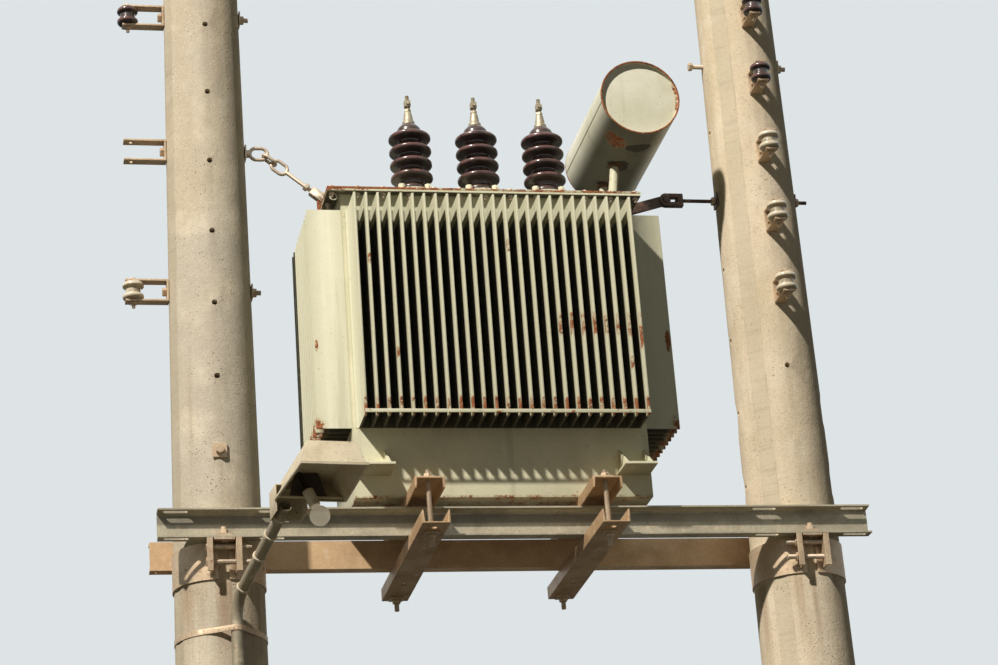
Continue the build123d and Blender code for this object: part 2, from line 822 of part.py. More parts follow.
def make_drum_legs():
    """The two pipe legs of the conservator, each on a round foot."""
    foot_x = tank_right - leg_foot_inset
    top_x = tank_right + leg_top_past_wall
    start = lid_top + leg_foot_thick / 2
    with BuildPart() as piece:
        for y in (tank_y + leg_front_y, tank_y + leg_back_y):
            with Locations((foot_x, y, lid_top)):
                Cylinder(leg_foot_dia / 2, leg_foot_thick, align=(Align.CENTER, Align.CENTER, Align.MIN))
            lean = Vector(top_x - foot_x, 0, drum_z - start)
            shank_on(Plane((foot_x, y, start), z_dir=lean), leg_dia, lean.length)
        with Locations((drum_x, tank_y, drum_z)):
            Cylinder(
                drum_dia / 2 + seat_gap, drum_length, rotation=(90, 0, 0), mode=Mode.SUBTRACT
            )
    return piece


def make_lid_lugs():
    """The upright lugs on the lid's left and right edges that the ties are pinned to."""
    right_y = (strap_thick + lug_plate_thick) / 2 + seat_gap
    lugs = (
        (left_lug_hole, left_lug_width, left_lug_height, 0, left_lug_width / 2 - lug_hole_dia),
        (right_lug_hole, right_lug_width, right_lug_height, right_y, 0),
    )
    with BuildPart() as piece:
        for (hole_x, hole_z), width, height, y, offset in lugs:
            corner = lug_corner_share * width
            with BuildSketch(Plane.XZ.offset(-y - lug_plate_thick / 2)):
                with Locations((hole_x + offset, lid_top)):
                    Polygon(
                        (-width / 2, 0),
                        (width / 2, 0),
                        (width / 2, height - corner),
                        (width / 2 - corner, height),
                        (corner - width / 2, height),
                        (-width / 2, height - corner),
                        align=None,
                    )
                with Locations((hole_x, hole_z)):
                    Circle(lug_hole_dia / 2, mode=Mode.SUBTRACT)
            extrude(amount=lug_plate_thick)
    return piece


def ring_on(plane, length, width, wire):
    """A closed oval of round bar in a plane, its long side on the plane's X axis."""
    bend = (width - wire) / 2
    run = (length - width) / 2
    with BuildLine(plane) as path:
        Line((-run, bend), (run, bend))
        ThreePointArc((run, bend), (run + bend, 0), (run, -bend))
        Line((run, -bend), (-run, -bend))
        ThreePointArc((-run, -bend), (-run - bend, 0), (-run, bend))
    start = Plane(origin=path.wires()[0] @ 0, z_dir=path.wires()[0] % 0)
    with BuildSketch(start) as section:
        Circle(wire / 2)
    sweep(section.sketch, path=path.wires()[0])


def make_tie_eye():
    """The eye nut on the left pole's through bolt, with its square plate."""
    face = Plane((tie_start, 0, tie_level), z_dir=(1, 0, 0))
    with BuildPart() as piece:
        plate_on(face)
        nut_on(face.offset(washer_thick))
        middle = tie_start + washer_thick + nut_thick + tie_eye_length / 2 - tie_wire_dia / 2
        ring_on(
            Plane((middle, 0, tie_level), x_dir=(1, 0, 0), z_dir=(0, -1, 0)),
            tie_eye_length,
            tie_eye_width,
            tie_wire_dia,
        )
    return piece


def make_tie_link():
    """The link between the eye nut and the eye rod."""
    middle = tie_hook + tie_way * (link_start + (tie_link_length - tie_wire_dia) / 2)
    with BuildPart() as piece:
        ring_on(
            Plane(middle, x_dir=tie_way, z_dir=tie_way.cross(Vector(0, 1, 0))),
            tie_link_length,
            tie_link_width,
            tie_wire_dia,
        )
    return piece


def make_tie_rod():
    """The eye rod of the left tie, with its lock nut."""
    ring_middle = tie_hook + tie_way * (ring_start + (tie_ring_length - tie_wire_dia) / 2)
    ring_end = ring_start + tie_ring_length - tie_wire_dia
    rod_foot = tie_hook + tie_way * ring_end
    rod_length = clevis_start + nut_thick - ring_end
    with BuildPart() as piece:
        ring_on(
            Plane(ring_middle, x_dir=tie_way, z_dir=(0, -1, 0)),
            tie_ring_length,
            tie_ring_width,
            tie_wire_dia,
        )
        shank_on(Plane(rod_foot, z_dir=tie_way), tie_rod_dia, rod_length)
        nut_on(Plane(tie_hook + tie_way * (clevis_start - 2 * nut_thick), z_dir=tie_way))
    return piece


def make_tie_clevis():
    """The clevis that straddles the lid's left lug, with its pin."""
    outer = lug_plate_thick + 2 * tie_clevis_cheek + 4 * seat_gap
    body = Plane(tie_hook + tie_way * clevis_start, x_dir=(0, 1, 0), z_dir=tie_way)
    with BuildPart() as piece:
        with BuildSketch(body):
            Rectangle(outer, tie_clevis_width)
        extrude(amount=tie_clevis_length)
        with BuildSketch(body.offset(tie_clevis_base)):
            Rectangle(lug_plate_thick + 4 * seat_gap, 2 * tie_clevis_width)
        extrude(amount=tie_clevis_length, mode=Mode.SUBTRACT)
        with BuildSketch(body):
            Circle(tie_rod_dia / 2)
        extrude(amount=nut_thick + seat_gap, mode=Mode.SUBTRACT)
        pin_foot = (left_lug_hole[0], -outer / 2, left_lug_hole[1])
        shank_on(Plane(pin_foot, z_dir=(0, 1, 0)), tie_pin_dia, outer + tie_pin_head_thick)
        shank_on(Plane(pin_foot, z_dir=(0, -1, 0)), tie_pin_head, tie_pin_head_thick)
    return piece


def make_right_strap():
    """The flat strap between the lid's right lug and the forked link, with its bolt at the lug."""
    start = Vector(right_lug_hole[0], 0, right_lug_hole[1])
    across = Vector(fork_x, 0, fork_level) - start
    flat = Plane(start, x_dir=across, z_dir=(0, -1, 0))
    with BuildPart() as piece:
        with BuildSketch(flat.offset(-strap_thick / 2)):
            with Locations((across.length / 2, 0)):
                SlotOverall(across.length + strap_width, strap_width)
            with Locations((across.length, 0)):
                Circle(lug_hole_dia / 2, mode=Mode.SUBTRACT)
        extrude(amount=strap_thick)
        nut_on(flat.offset(strap_thick / 2), tie_pin_head, tie_pin_head_thick)
        back = Plane(start + Vector(0, strap_thick / 2 + lug_plate_thick + 2 * seat_gap, 0), z_dir=(0, 1, 0))
        shank_on(back, tie_pin_dia, -(lug_plate_thick + 2 * seat_gap))
        shank_on(back, tie_pin_dia, tie_pin_head)
        nut_on(back, tie_pin_head, tie_pin_head_thick)
    return piece


def make_right_fork():
    """The forked link with its window, and the bolt through the strap."""
    thick = strap_thick + 2 * fork_cheek + 4 * seat_gap
    body = Plane((fork_x, 0, fork_level), x_dir=(1, 0, 0), z_dir=(0, -1, 0))
    middle = (fork_length - fork_height) / 2
    with BuildPart() as piece:
        with BuildSketch(body.offset(-thick / 2)):
            with Locations((middle, 0)):
                SlotOverall(fork_length, fork_height)
            with Locations((fork_end - fork_x - fork_height / 2, 0)):
                Rectangle(fork_height, fork_height)
            with Locations((fork_window_end - fork_x - fork_window_length / 2, 0)):
                Rectangle(fork_window_length, fork_window_height, mode=Mode.SUBTRACT)
        extrude(amount=thick)
        with Locations((fork_x, 0, fork_level)):
            Box(1.2 * fork_height, strap_thick + 4 * seat_gap, 2 * fork_height, mode=Mode.SUBTRACT)
        with BuildSketch(Plane((fork_window_end, 0, fork_level), z_dir=(1, 0, 0))):
            Circle(right_rod_dia / 2 + seat_gap)
        extrude(amount=fork_length, mode=Mode.SUBTRACT)
        shank_on(body.offset(-thick / 2), tie_pin_dia, thick)
        nut_on(body.offset(thick / 2), tie_pin_head, tie_pin_head_thick)
        far = Plane((fork_x, thick / 2, fork_level), z_dir=(0, 1, 0))
        nut_on(far, tie_pin_head, tie_pin_head_thick)
    return piece


def make_right_rod():
    """The threaded rod from the forked link through the right pole, with its nuts and plates."""
    start = fork_window_end - right_rod_dia / 2
    near = pole_spacing - pole_radius(right_foot_dia, fork_level - washer_side / 2) - seat_gap
    far = 2 * pole_spacing - near
    length = far + washer_thick + nut_thick + bolt_tail - start
    with BuildPart() as piece:
        shank_on(Plane((start, 0, fork_level), z_dir=(1, 0, 0)), right_rod_dia, length)
        plate_on(Plane((near, 0, fork_level), z_dir=(-1, 0, 0)))
        nut_on(Plane((near - washer_thick, 0, fork_level), z_dir=(-1, 0, 0)))
        plate_on(Plane((far, 0, fork_level), z_dir=(1, 0, 0)))
        nut_on(Plane((far + washer_thick, 0, fork_level), z_dir=(1, 0, 0)))
    return piece


def bracket_frame(pole, level, way):
    """Where a bracket's back touches its pole, with Z pointing out along the bracket."""
    x, foot_dia = pole
    reach = pole_radius(foot_dia, level - bracket_height / 2) + seat_gap
    return Plane((x + way[0] * reach, way[1] * reach, level), x_dir=(way[1], -way[0], 0), z_dir=(*way, 0))


def make_brackets(pole, levels, way, length):
    """U brackets of flat bar that hold the line insulators. way is the direction they point."""
    with BuildPart() as piece:
        for level in levels:
            back = bracket_frame(pole, level, way)
            with BuildSketch(back):
                Rectangle(bar_width, bracket_height)
            extrude(amount=length)
            with BuildSketch(back.offset(bar_thick)):
                Rectangle(2 * bar_width, bracket_height - 2 * bar_thick)
            extrude(amount=length, mode=Mode.SUBTRACT)
            pin = back.origin + back.z_dir * (length - bracket_pin_inset)
            with Locations(pin):
                Cylinder(bracket_pin_dia / 2 + 1, 2 * bracket_height, mode=Mode.SUBTRACT)
            with Locations(back):
                Cylinder(rod_hole_dia / 2, 4 * bar_thick, mode=Mode.SUBTRACT)
    return piece


def make_spools(pole, levels, way, length):
    """Grooved porcelain spools between the arms of the brackets."""
    half = spool_height / 2
    rim = spool_dia / 2
    face = spool_face_dia / 2
    neck = spool_neck_dia / 2
    bore = spool_bore_dia / 2
    flat = spool_groove_flat / 2
    points = [(bore, -half), (face, -half), (rim, -spool_rim_outer), (rim, -spool_rim_inner)]
    points += [(neck, -flat), (neck, flat), (rim, spool_rim_inner), (rim, spool_rim_outer)]
    points += [(face, half), (bore, half)]
    with BuildPart() as piece:
        for level in levels:
            back = bracket_frame(pole, level, way)
            pin = back.origin + back.z_dir * (length - bracket_pin_inset)
            with BuildSketch(Plane.XZ) as outline:
                Polygon(*points, align=None)
            with Locations(pin):
                add(revolve(outline.sketch, axis=Axis.Z, mode=Mode.PRIVATE))
    return piece


def make_spool_pins(spool_sets):
    """The upright bolts through the brackets' arms and the spools."""
    reach = bracket_height / 2 + seat_gap
    with BuildPart() as piece:
        for pole, level, way, length in spool_sets:
            back = bracket_frame(pole, level, way)
            pin = back.origin + back.z_dir * (length - bracket_pin_inset)
            foot = Plane(pin - Vector(0, 0, reach + tie_pin_head_thick + bracket_pin_tail))
            shank_on(foot, bracket_pin_dia, 2 * reach + tie_pin_head_thick + bracket_pin_tail)
            nut_on(Plane(pin + Vector(0, 0, reach)), tie_pin_head, tie_pin_head_thick)
            under = Plane(pin - Vector(0, 0, reach), z_dir=(0, 0, -1))
            nut_on(under, tie_pin_head, tie_pin_head_thick)
    return piece


def make_pole_bolts(pole, bolts):
    """Through bolts of a pole. Each is its level, its direction, and what its head and nut stand off."""
    x, foot_dia = pole
    with BuildPart() as piece:
        for level, way, head_off, nut_off in bolts:
            reach = pole_radius(foot_dia, level - bracket_height / 2) + seat_gap
            out = Vector(*way, 0)
            middle = Vector(x, 0, level)
            head = Plane(middle + out * (reach + head_off), z_dir=out)
            nut = Plane(middle - out * (reach + nut_off), z_dir=-out)
            tail = nut_thick + bolt_tail / 2 if nut_off else -seat_gap
            shank_on(head, bolt_dia, -(2 * reach + head_off + nut_off + tail))
            nut_on(head)
            if nut_off >= washer_thick:
                plate_on(nut.offset(-washer_thick))
                nut_on(nut)
            if head_off == washer_thick:
                plate_on(head.offset(-washer_thick))
    return piece


def make_lamp_arm():
    """The pipe arm that runs up the left pole and bends out to the lamp."""
    with BuildPart() as piece:
        with BuildLine():
            FilletPolyline(
                (arm_x, arm_y, arm_bottom),
                (arm_x, arm_y, arm_bend_height),
                arm_end,
                radius=arm_bend_radius,
            )
        with BuildSketch(Plane((arm_x, arm_y, arm_bottom))):
            Circle(arm_pipe_dia / 2)
            Circle(arm_pipe_dia / 2 - arm_pipe_wall, mode=Mode.SUBTRACT)
        sweep()
    return piece


def make_arm_straps():
    """The two bands that hold the lamp's arm to the pole."""
    with BuildPart() as piece:
        for level in [arm_bend_height - drop for drop in arm_strap_drops]:
            inner = pole_radius(left_foot_dia, level - strap_band_width / 2) + seat_gap
            pipe = arm_pipe_dia / 2 + seat_gap
            with BuildSketch(Plane.XY.offset(level - strap_band_width / 2)):
                Circle(inner + strap_band_thick)
                with Locations((arm_x, arm_y)):
                    Circle(pipe + strap_band_thick)
                make_hull()
            extrude(amount=strap_band_width)
            with BuildSketch(Plane.XY.offset(level - strap_band_width / 2)):
                Circle(inner)
                with Locations((arm_x, arm_y)):
                    Circle(pipe)
                make_hull()
            extrude(amount=strap_band_width, mode=Mode.SUBTRACT)
    return piece


def hood_sections(inset):
    """Corner points of the hood's opening and of its roof, drawn in by an inset."""
    rear = hood_width / 2 - inset
    front = hood_front_width / 2 - inset
    roof = hood_roof_width / 2 - inset
    nose = hood_length - inset
    roof_nose = hood_length - hood_roof_front - inset
    roof_back = hood_roof_back - inset
    low = [(-rear, -inset), (rear, -inset), (front, -nose), (-front, -nose)]
    high = [(-roof, roof_back), (roof, roof_back), (roof, -roof_nose), (-roof, -roof_nose)]
    return low, high


def make_lamp_hood():
    """The folded lamp housing, open below, with the neck that takes the arm."""
    low, high = hood_sections(0)
    lip = hood_sections(-hood_lip)[0]
    inner_low, inner_high = hood_sections(hood_sheet)
    neck_x = (hood_neck_width - hood_width) / 2
    neck = hood_frame.offset(-hood_neck_drop)
    with BuildPart() as piece:
        with BuildSketch(hood_frame):
            Polygon(*low, align=None)
        with BuildSketch(hood_frame.offset(hood_height)):
            Polygon(*high, align=None)
        loft()
        with BuildSketch(hood_frame):
            Polygon(*lip, align=None)
        extrude(amount=hood_lip_height)
        with BuildSketch(neck):
            with Locations((neck_x, hood_neck_length / 2)):
                Rectangle(hood_neck_width, hood_neck_length)
        extrude(amount=hood_neck_height)
        with BuildSketch(hood_frame):
            Polygon(*inner_low, align=None)
        with BuildSketch(hood_frame.offset(hood_height - hood_sheet)):
            Polygon(*inner_high, align=None)
        loft(mode=Mode.SUBTRACT)
        with BuildSketch(neck):
            with Locations((neck_x, hood_neck_length / 2 - 2 * hood_sheet)):
                Rectangle(hood_neck_width - 2 * hood_sheet, hood_neck_length + 2 * hood_sheet)
        extrude(amount=hood_neck_height - hood_sheet, mode=Mode.SUBTRACT)
        with BuildSketch(Plane(arm_end, z_dir=arm_way)):
            Circle(arm_pipe_dia / 2 + seat_gap)
        extrude(amount=2 * hood_neck_length, mode=Mode.SUBTRACT)
    return piece


def make_lamp_socket():
    """The lamp holder, and the stem that hangs it from the housing's roof."""
    ceiling = hood_place.Z + hood_height - hood_sheet - seat_gap
    foot = bulb_axis.offset(bulb_dia / 2 + bulb_neck_length - socket_grip)
    with BuildPart() as piece:
        shank_on(foot, socket_dia, socket_length)
        shank_on(foot, socket_stem_dia, 3 * socket_length)
        with Locations((bulb_place.X, bulb_place.Y, ceiling + socket_length)):
            Box(4 * socket_length, 4 * socket_length, 2 * socket_length, mode=Mode.SUBTRACT)
        with BuildSketch(foot):
            Circle(bulb_neck_dia / 2 + seat_gap)
        extrude(amount=socket_grip + seat_gap, mode=Mode.SUBTRACT)
    return piece


def make_lamp_bulb():
    """The milky bulb below the lamp holder."""
    with BuildPart() as piece:
        with Locations(bulb_axis):
            Sphere(bulb_dia / 2)
        shank_on(bulb_axis, bulb_neck_dia, bulb_dia / 2 + bulb_neck_length)
    return piece


save(make_pole(left_pole, left_mould_angle, left_y_holes, left_x_holes), "pole_left")
save(make_pole(right_pole, right_mould_angle, right_y_holes, right_x_holes), "pole_right")
save(make_beam(-1), "platform_beam_front")
save(make_beam(1), "platform_beam_back")
for hand, bearer_x in zip(("left", "right"), bearer_xs):
    save(make_upper_bearer(bearer_x), f"bearer_upper_{hand}")
    save(make_lower_bearer(bearer_x), f"bearer_lower_{hand}")
save(make_clamp_rods(), "clamp_rods")
save(make_half_band(left_pole, -1), "collar_left_outer")
save(make_half_band(left_pole, 1), "collar_left_inner")
save(make_half_band(right_pole, -1), "collar_right_inner")
save(make_half_band(right_pole, 1), "collar_right_outer")
save(make_collar_bolts(left_pole, 1), "collar_bolts_left")
save(make_collar_bolts(right_pole, -1), "collar_bolts_right")
save(make_seat_bolts(), "seat_bolts")

save(make_tank(), "tank")
save(make_lid(), "tank_lid")
front_wall = (tank_x, tank_front, fin_base)
back_wall = (tank_x, tank_back, fin_base)
left_wall = (tank_left, tank_y, fin_base)
right_wall = (tank_right, tank_y, fin_base)
save(make_fin_panel(front_wall, (-1, 0, 0), front_fin_count, front_fin_depth, fin_margin), "fins_front")
save(make_fin_panel(back_wall, (1, 0, 0), front_fin_count, front_fin_depth, fin_margin), "fins_back")
save(make_fin_panel(left_wall, (0, 1, 0), side_fin_count, side_fin_depth, side_fin_margin), "fins_left")
save(make_fin_panel(right_wall, (0, -1, 0), side_fin_count, side_fin_depth, side_fin_margin), "fins_right")
save(make_fin_bars(), "fin_bars")
save(make_jacking_lugs(), "jacking_lugs")
for hand, place in zip(("left", "middle", "right"), hv_places):
    save(make_hv_bushing(place), f"hv_bushing_{hand}")
save(make_hv_clamps(), "hv_clamps")
save(make_hv_terminals(), "hv_terminals")
save(make_lv_bushings(), "lv_bushings")
save(make_lv_terminals(), "lv_terminals")
save(make_drum_shell(), "conservator_shell")
save(make_drum_ends(), "conservator_ends")
save(make_drum_legs(), "conservator_legs")

save(make_lid_lugs(), "lid_lugs")
save(make_tie_eye(), "tie_left_eye")
save(make_tie_link(), "tie_left_link")
save(make_tie_rod(), "tie_left_rod")
save(make_tie_clevis(), "tie_left_clevis")
save(make_right_strap(), "tie_right_strap")
save(make_right_fork(), "tie_right_fork")
save(make_right_rod(), "tie_right_rod")

left_way = (-1, 0)
front_way = (0, -1)
save(make_brackets(left_pole, left_spool_levels, left_way, left_bracket_length), "brackets_left")
save(make_brackets(left_pole, [empty_bracket_level], left_way, left_bracket_length), "bracket_left_empty")
save(make_brackets(right_pole, right_bracket_levels, front_way, right_bracket_length), "brackets_right")
save(make_spools(left_pole, left_spool_levels, left_way, left_bracket_length), "spools_left")
save(make_spools(right_pole, right_bracket_levels, front_way, right_bracket_length), "spools_right")
spool_sets = [(left_pole, level, left_way, left_bracket_length) for level in left_spool_levels]
spool_sets += [(right_pole, level, front_way, right_bracket_length) for level in right_bracket_levels]
save(make_spool_pins(spool_sets), "spool_pins")
left_bolts = [(left_x_holes[1], left_way, bar_thick, 0)]
left_bolts += [(level, left_way, bar_thick, washer_thick) for level in left_spool_levels]
left_bolts += [(left_y_holes[0], front_way, washer_thick, washer_thick)]
right_bolts = [(level, front_way, bar_thick, washer_thick) for level in right_bracket_levels]
right_bolts += [(step_bolt_level, left_way, step_bolt_reach, washer_thick)]
save(make_pole_bolts(left_pole, left_bolts), "pole_bolts_left")
save(make_pole_bolts(right_pole, right_bolts), "pole_bolts_right")

save(make_lamp_arm(), "lamp_arm")
save(make_arm_straps(), "lamp_arm_straps")
save(make_lamp_hood(), "lamp_hood")
save(make_lamp_socket(), "lamp_socket")
save(make_lamp_bulb(), "lamp_bulb")
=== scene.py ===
# %% [markdown]
# # A pole mounted transformer, dressed for its picture
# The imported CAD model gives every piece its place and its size, in metres, with Z up.
# This script adds what a drawing leaves out: rounded edges, threads, weld beads, glaze, rust and dirt.
# It reads like a workshop diary. Each step first says what the real thing is and how it could be made.

import json
from functools import partialmethod, reduce
from math import cos, pi, radians, sin, sqrt
from operator import or_

import bmesh
import bpy
from mathutils import Matrix, Vector


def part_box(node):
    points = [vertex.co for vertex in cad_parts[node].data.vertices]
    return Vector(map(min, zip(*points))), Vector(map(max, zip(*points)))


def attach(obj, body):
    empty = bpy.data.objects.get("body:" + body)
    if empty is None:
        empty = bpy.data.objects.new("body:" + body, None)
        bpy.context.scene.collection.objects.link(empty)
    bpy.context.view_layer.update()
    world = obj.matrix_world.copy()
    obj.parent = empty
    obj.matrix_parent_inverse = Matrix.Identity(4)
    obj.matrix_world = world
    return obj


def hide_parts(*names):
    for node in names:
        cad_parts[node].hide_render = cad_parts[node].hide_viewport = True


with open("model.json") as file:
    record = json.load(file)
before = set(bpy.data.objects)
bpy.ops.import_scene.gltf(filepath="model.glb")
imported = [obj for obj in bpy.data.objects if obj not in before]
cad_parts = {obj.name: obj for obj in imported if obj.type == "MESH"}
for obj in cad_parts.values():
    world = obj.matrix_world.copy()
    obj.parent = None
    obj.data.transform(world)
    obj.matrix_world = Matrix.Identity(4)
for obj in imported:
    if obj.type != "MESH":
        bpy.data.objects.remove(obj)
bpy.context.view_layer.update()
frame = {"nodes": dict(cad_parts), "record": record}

# %% [markdown]
# ## Sums written as sums
# A material and a Geometry Nodes tree are both graphs. Clicking them together by hand is slow to repeat,
# and nested calls are hard to read. So what comes out of a node is wrapped in a small class: the signs of
# arithmetic work on it, and each sign adds one node. Two helpers feed a socket and add a node.

# %% Nodes, and the values that come out of them


class Value:
    """What comes out of a node. The signs of arithmetic work on it, and | takes the larger of two values."""

    def __init__(self, tree, socket):
        self.tree = tree
        self.socket = socket

    def maths(self, operation, other=0.0):
        """One sum: this value first, then the other."""
        return add_node(self.tree, "ShaderNodeMath", {0: self, 1: other}, operation=operation)

    def step(self, low, high):
        """0 where the value is low and 1 where it is high, with a smooth change between them."""
        sizes = {"Value": self, "From Min": low, "From Max": high}
        return add_node(self.tree, "ShaderNodeMapRange", sizes, interpolation_type="SMOOTHSTEP")

    def parts(self):
        """The X, Y and Z of a place or a direction."""
        split = add_node(self.tree, "ShaderNodeSeparateXYZ", {0: self})
        return [Value(self.tree, socket) for socket in split.socket.node.outputs]

    def __rsub__(self, other):
        return add_node(self.tree, "ShaderNodeMath", {0: other, 1: self}, operation="SUBTRACT")

    __add__ = __radd__ = partialmethod(maths, "ADD")
    __sub__ = partialmethod(maths, "SUBTRACT")
    __mul__ = __rmul__ = partialmethod(maths, "MULTIPLY")
    __truediv__ = partialmethod(maths, "DIVIDE")
    __mod__ = partialmethod(maths, "MODULO")
    __or__ = partialmethod(maths, "MAXIMUM")
    __abs__ = partialmethod(maths, "ABSOLUTE")


def light_values(colour):
    """A colour as a screen shows it, 0 to 255, turned into the light values that Blender mixes."""
    shares = [value / 255 for value in colour]
    return (*[s / 12.92 if s <= 0.04045 else ((s + 0.055) / 1.055) ** 2.4 for s in shares], 1.0)


def feed(tree, socket, value):
    """Join a socket to what comes out of a node, or fix it. Three numbers are a colour on a screen."""
    if isinstance(value, Value):
        tree.links.new(value.socket, socket)
    elif socket.type == "RGBA" and len(value) == 3:
        socket.default_value = light_values(value)
    else:
        socket.default_value = value


def add_node(tree, kind, inputs=None, output=0, **settings):
    """Add a node, set its options, feed its inputs, which are named or numbered, and hand one output over."""
    made = tree.nodes.new(kind)
    for name, value in settings.items():
        setattr(made, name, value)
    for name, value in (inputs or {}).items():
        feed(tree, made.inputs[name], value)
    return Value(tree, made.outputs[output]) if made.outputs else None


print("mid grey is", round(light_values((128, 128, 128))[0], 3), "in light")

# %% [markdown]
# ## A finish is laid in coats
# Real surfaces have a base, then stains, dust and rust on top, each in its own places. The class below works
# the same way. It starts from a base colour, and every call to `lay` puts another colour over it where a
# mask is white. All masks are made from Object coordinates, so a pattern sits still on the piece, whatever
# camera looks at it.

# %% A finish and its coats
EVEN = (1, 1, 1)


class Finish:
    """A material in the making: the patterns of its coats, and the shader that they feed."""

    def __init__(self, name, base, roughness, **constants):
        self.material = bpy.data.materials.new(name)
        self.material.use_nodes = True
        self.material.diffuse_color = light_values(base)
        self.tree = self.material.node_tree
        self.shader = self.tree.nodes["Principled BSDF"]
        for socket, value in constants.items():
            self.shader.inputs[socket.replace("_", " ")].default_value = value
        self.place = self.node("ShaderNodeTexCoord", output="Object")
        self.x, self.y, self.z = self.place.parts()
        self.colour = base
        self.rough = roughness
        self.relief = None

    def node(self, kind, inputs=None, output=0, **settings):
        return add_node(self.tree, kind, inputs, output, **settings)

    def normal(self):
        """The way that the surface faces, as X, Y and Z."""
        return self.node("ShaderNodeNewGeometry", output="Normal").parts()

    def blotches(self, scale, detail=4.0, stretch=EVEN, shift=0.0):
        """Cloudy noise from 0 to 1. A small stretch draws it out along that axis."""
        moved = {"Vector": self.place, "Scale": stretch, "Location": (shift,) * 3}
        place = self.node("ShaderNodeMapping", moved)
        sizes = {"Vector": place, "Scale": scale, "Detail": detail, "Roughness": 0.6}
        return self.node("ShaderNodeTexNoise", sizes)

    def cells(self, scale):
        """Distance to the nearest of many random points, for pits and spangles."""
        return self.node("ShaderNodeTexVoronoi", {"Vector": self.place, "Scale": scale})

    def lay(self, mask, colour, roughness=None, strength=1.0):
        """Lay a colour over what is there, where the mask is white."""
        if strength != 1.0:
            mask = mask * strength
        self.colour = self.node("ShaderNodeMix", {0: mask, 6: self.colour, 7: colour}, 2, data_type="RGBA")
        if roughness is not None:
            self.rough = self.node("ShaderNodeMix", {0: mask, 2: self.rough, 3: roughness})

    def stain(self, colour, noise, low, high, roughness=None, strength=1.0):
        """Lay a colour where cloudy noise rises from low to high. The noise is given as blotches takes it."""
        self.lay(self.blotches(*noise).step(low, high), colour, roughness, strength)

    def raise_by(self, height, distance):
        """Add a relief to the surface. Distance is its depth in metres."""
        inputs = {"Height": height, "Distance": distance, "Strength": 1.0}
        if self.relief is not None:
            inputs["Normal"] = self.relief
        self.relief = self.node("ShaderNodeBump", inputs)

    def done(self):
        """Join the coats to the shader and hand the material over."""
        for name, value in (("Base Color", self.colour), ("Roughness", self.rough), ("Normal", self.relief)):
            if value is not None:
                feed(self.tree, self.shader.inputs[name], value)
        return self.material


print("a finish starts from", len(Finish("trial_coat", (188, 188, 188), 0.5).tree.nodes), "nodes")
bpy.data.materials.remove(bpy.data.materials["trial_coat"])

# %% [markdown]
# ## Cast concrete
# The poles are cast in a steel mould and spun. Its two halves leave a narrow flat on each side, a little
# greyer than the rest, with faint marks across it. Air bubbles leave pits, and rain washes dirt down.
# A picture of concrete could be wrapped round the poles, but its seam would show, so every mark is computed.
# The coats are a table: colour, strength, where its noise starts and is full, and the noise.

# %% Concrete for the two poles
POLE_SPACING = 2.238
MOULD_HALF_FLAT = 0.035
STREAK = (1, 1, 0.05)
HOLE_STAIN = 0.16
CONCRETE_COATS = (
    ((198, 181, 150), 0.8, 0.4, 0.7, (1.3, 5)),
    ((229, 216, 192), 0.8, 0.45, 0.75, (4.5, 8, EVEN, 3)),
    ((178, 160, 130), 0.45, 0.48, 0.72, (6, 7, (1, 1, 0.12))),
    ((150, 131, 103), 0.3, 0.52, 0.78, (17, 6, STREAK, 7)),
    ((170, 152, 124), 0.35, 0.5, 0.75, (70, 5, EVEN, 2)),
    ((138, 122, 98), 0.6, 0.54, 0.74, (240, 2)),
    ((232, 222, 200), 0.4, 0.54, 0.7, (150, 3, EVEN, 6)),
)


def concrete(name, base, pole_x, mould_angle, hole_first, hole_pitch):
    """Concrete with mould flats at an angle, and stains below the holes on the front."""
    finish = Finish(name, base, 0.88, Specular_IOR_Level=0.3)
    for colour, strength, low, high, noise in CONCRETE_COATS:
        finish.stain(colour, noise, low, high, strength=strength)
    offset = finish.x - pole_x
    turn = radians(mould_angle)
    across = offset * -sin(turn) + finish.y * cos(turn)
    wavy = abs(across) + finish.blotches(9, 4) * 0.012
    flat = wavy.step(MOULD_HALF_FLAT + 0.009, MOULD_HALF_FLAT - 0.002)
    finish.lay(flat, (186, 174, 150), strength=0.5)
    marks = flat * finish.blotches(9, 5, (0.4, 0.4, 5), 11).step(0.52, 0.66)
    finish.lay(marks, (160, 148, 126), strength=0.25)
    seam = abs(wavy - (MOULD_HALF_FLAT + 0.004)).step(0.004, 0.0)
    ragged = finish.blotches(26, 4, (1, 1, 0.3), 2).step(0.45, 0.65)
    finish.lay(seam * ragged, (140, 124, 100), strength=0.3)
    pits = finish.cells(75).step(0.2, 0.08) * finish.blotches(7, 3).step(0.5, 0.66)
    finish.lay(pits, (92, 78, 60), strength=0.7)
    share = ((finish.z - hole_first) / hole_pitch).maths("FRACT")
    below = share.step(1 - HOLE_STAIN / hole_pitch * 2, 1.0)
    column = abs(offset).step(0.018, 0.004) * finish.y.step(0, -0.1)
    finish.lay(below * column, (140, 122, 98), strength=0.16)
    under_collar = finish.z.step(4.53, 4.5) * finish.z.step(4.1, 4.5)
    drips = finish.blotches(13, 5, STREAK, 5).step(0.46, 0.66)
    finish.lay(under_collar * drips, (140, 100, 68), strength=0.5)
    finish.raise_by(finish.blotches(5, 6), 0.006)
    finish.raise_by(finish.blotches(130, 4), 0.0012)
    finish.raise_by(flat * finish.blotches(9, 3, (0.4, 0.4, 2), 11), 0.0012)
    finish.raise_by(1.0 - pits, 0.004)
    return finish.done()


left_concrete = concrete("concrete_left", (194, 184, 167), 0.0, 200, 5.022, 0.3)
right_concrete = concrete("concrete_right", (229, 212, 186), POLE_SPACING, 228, 5.375, 0.31)
print("concrete nodes:", len(left_concrete.node_tree.nodes))

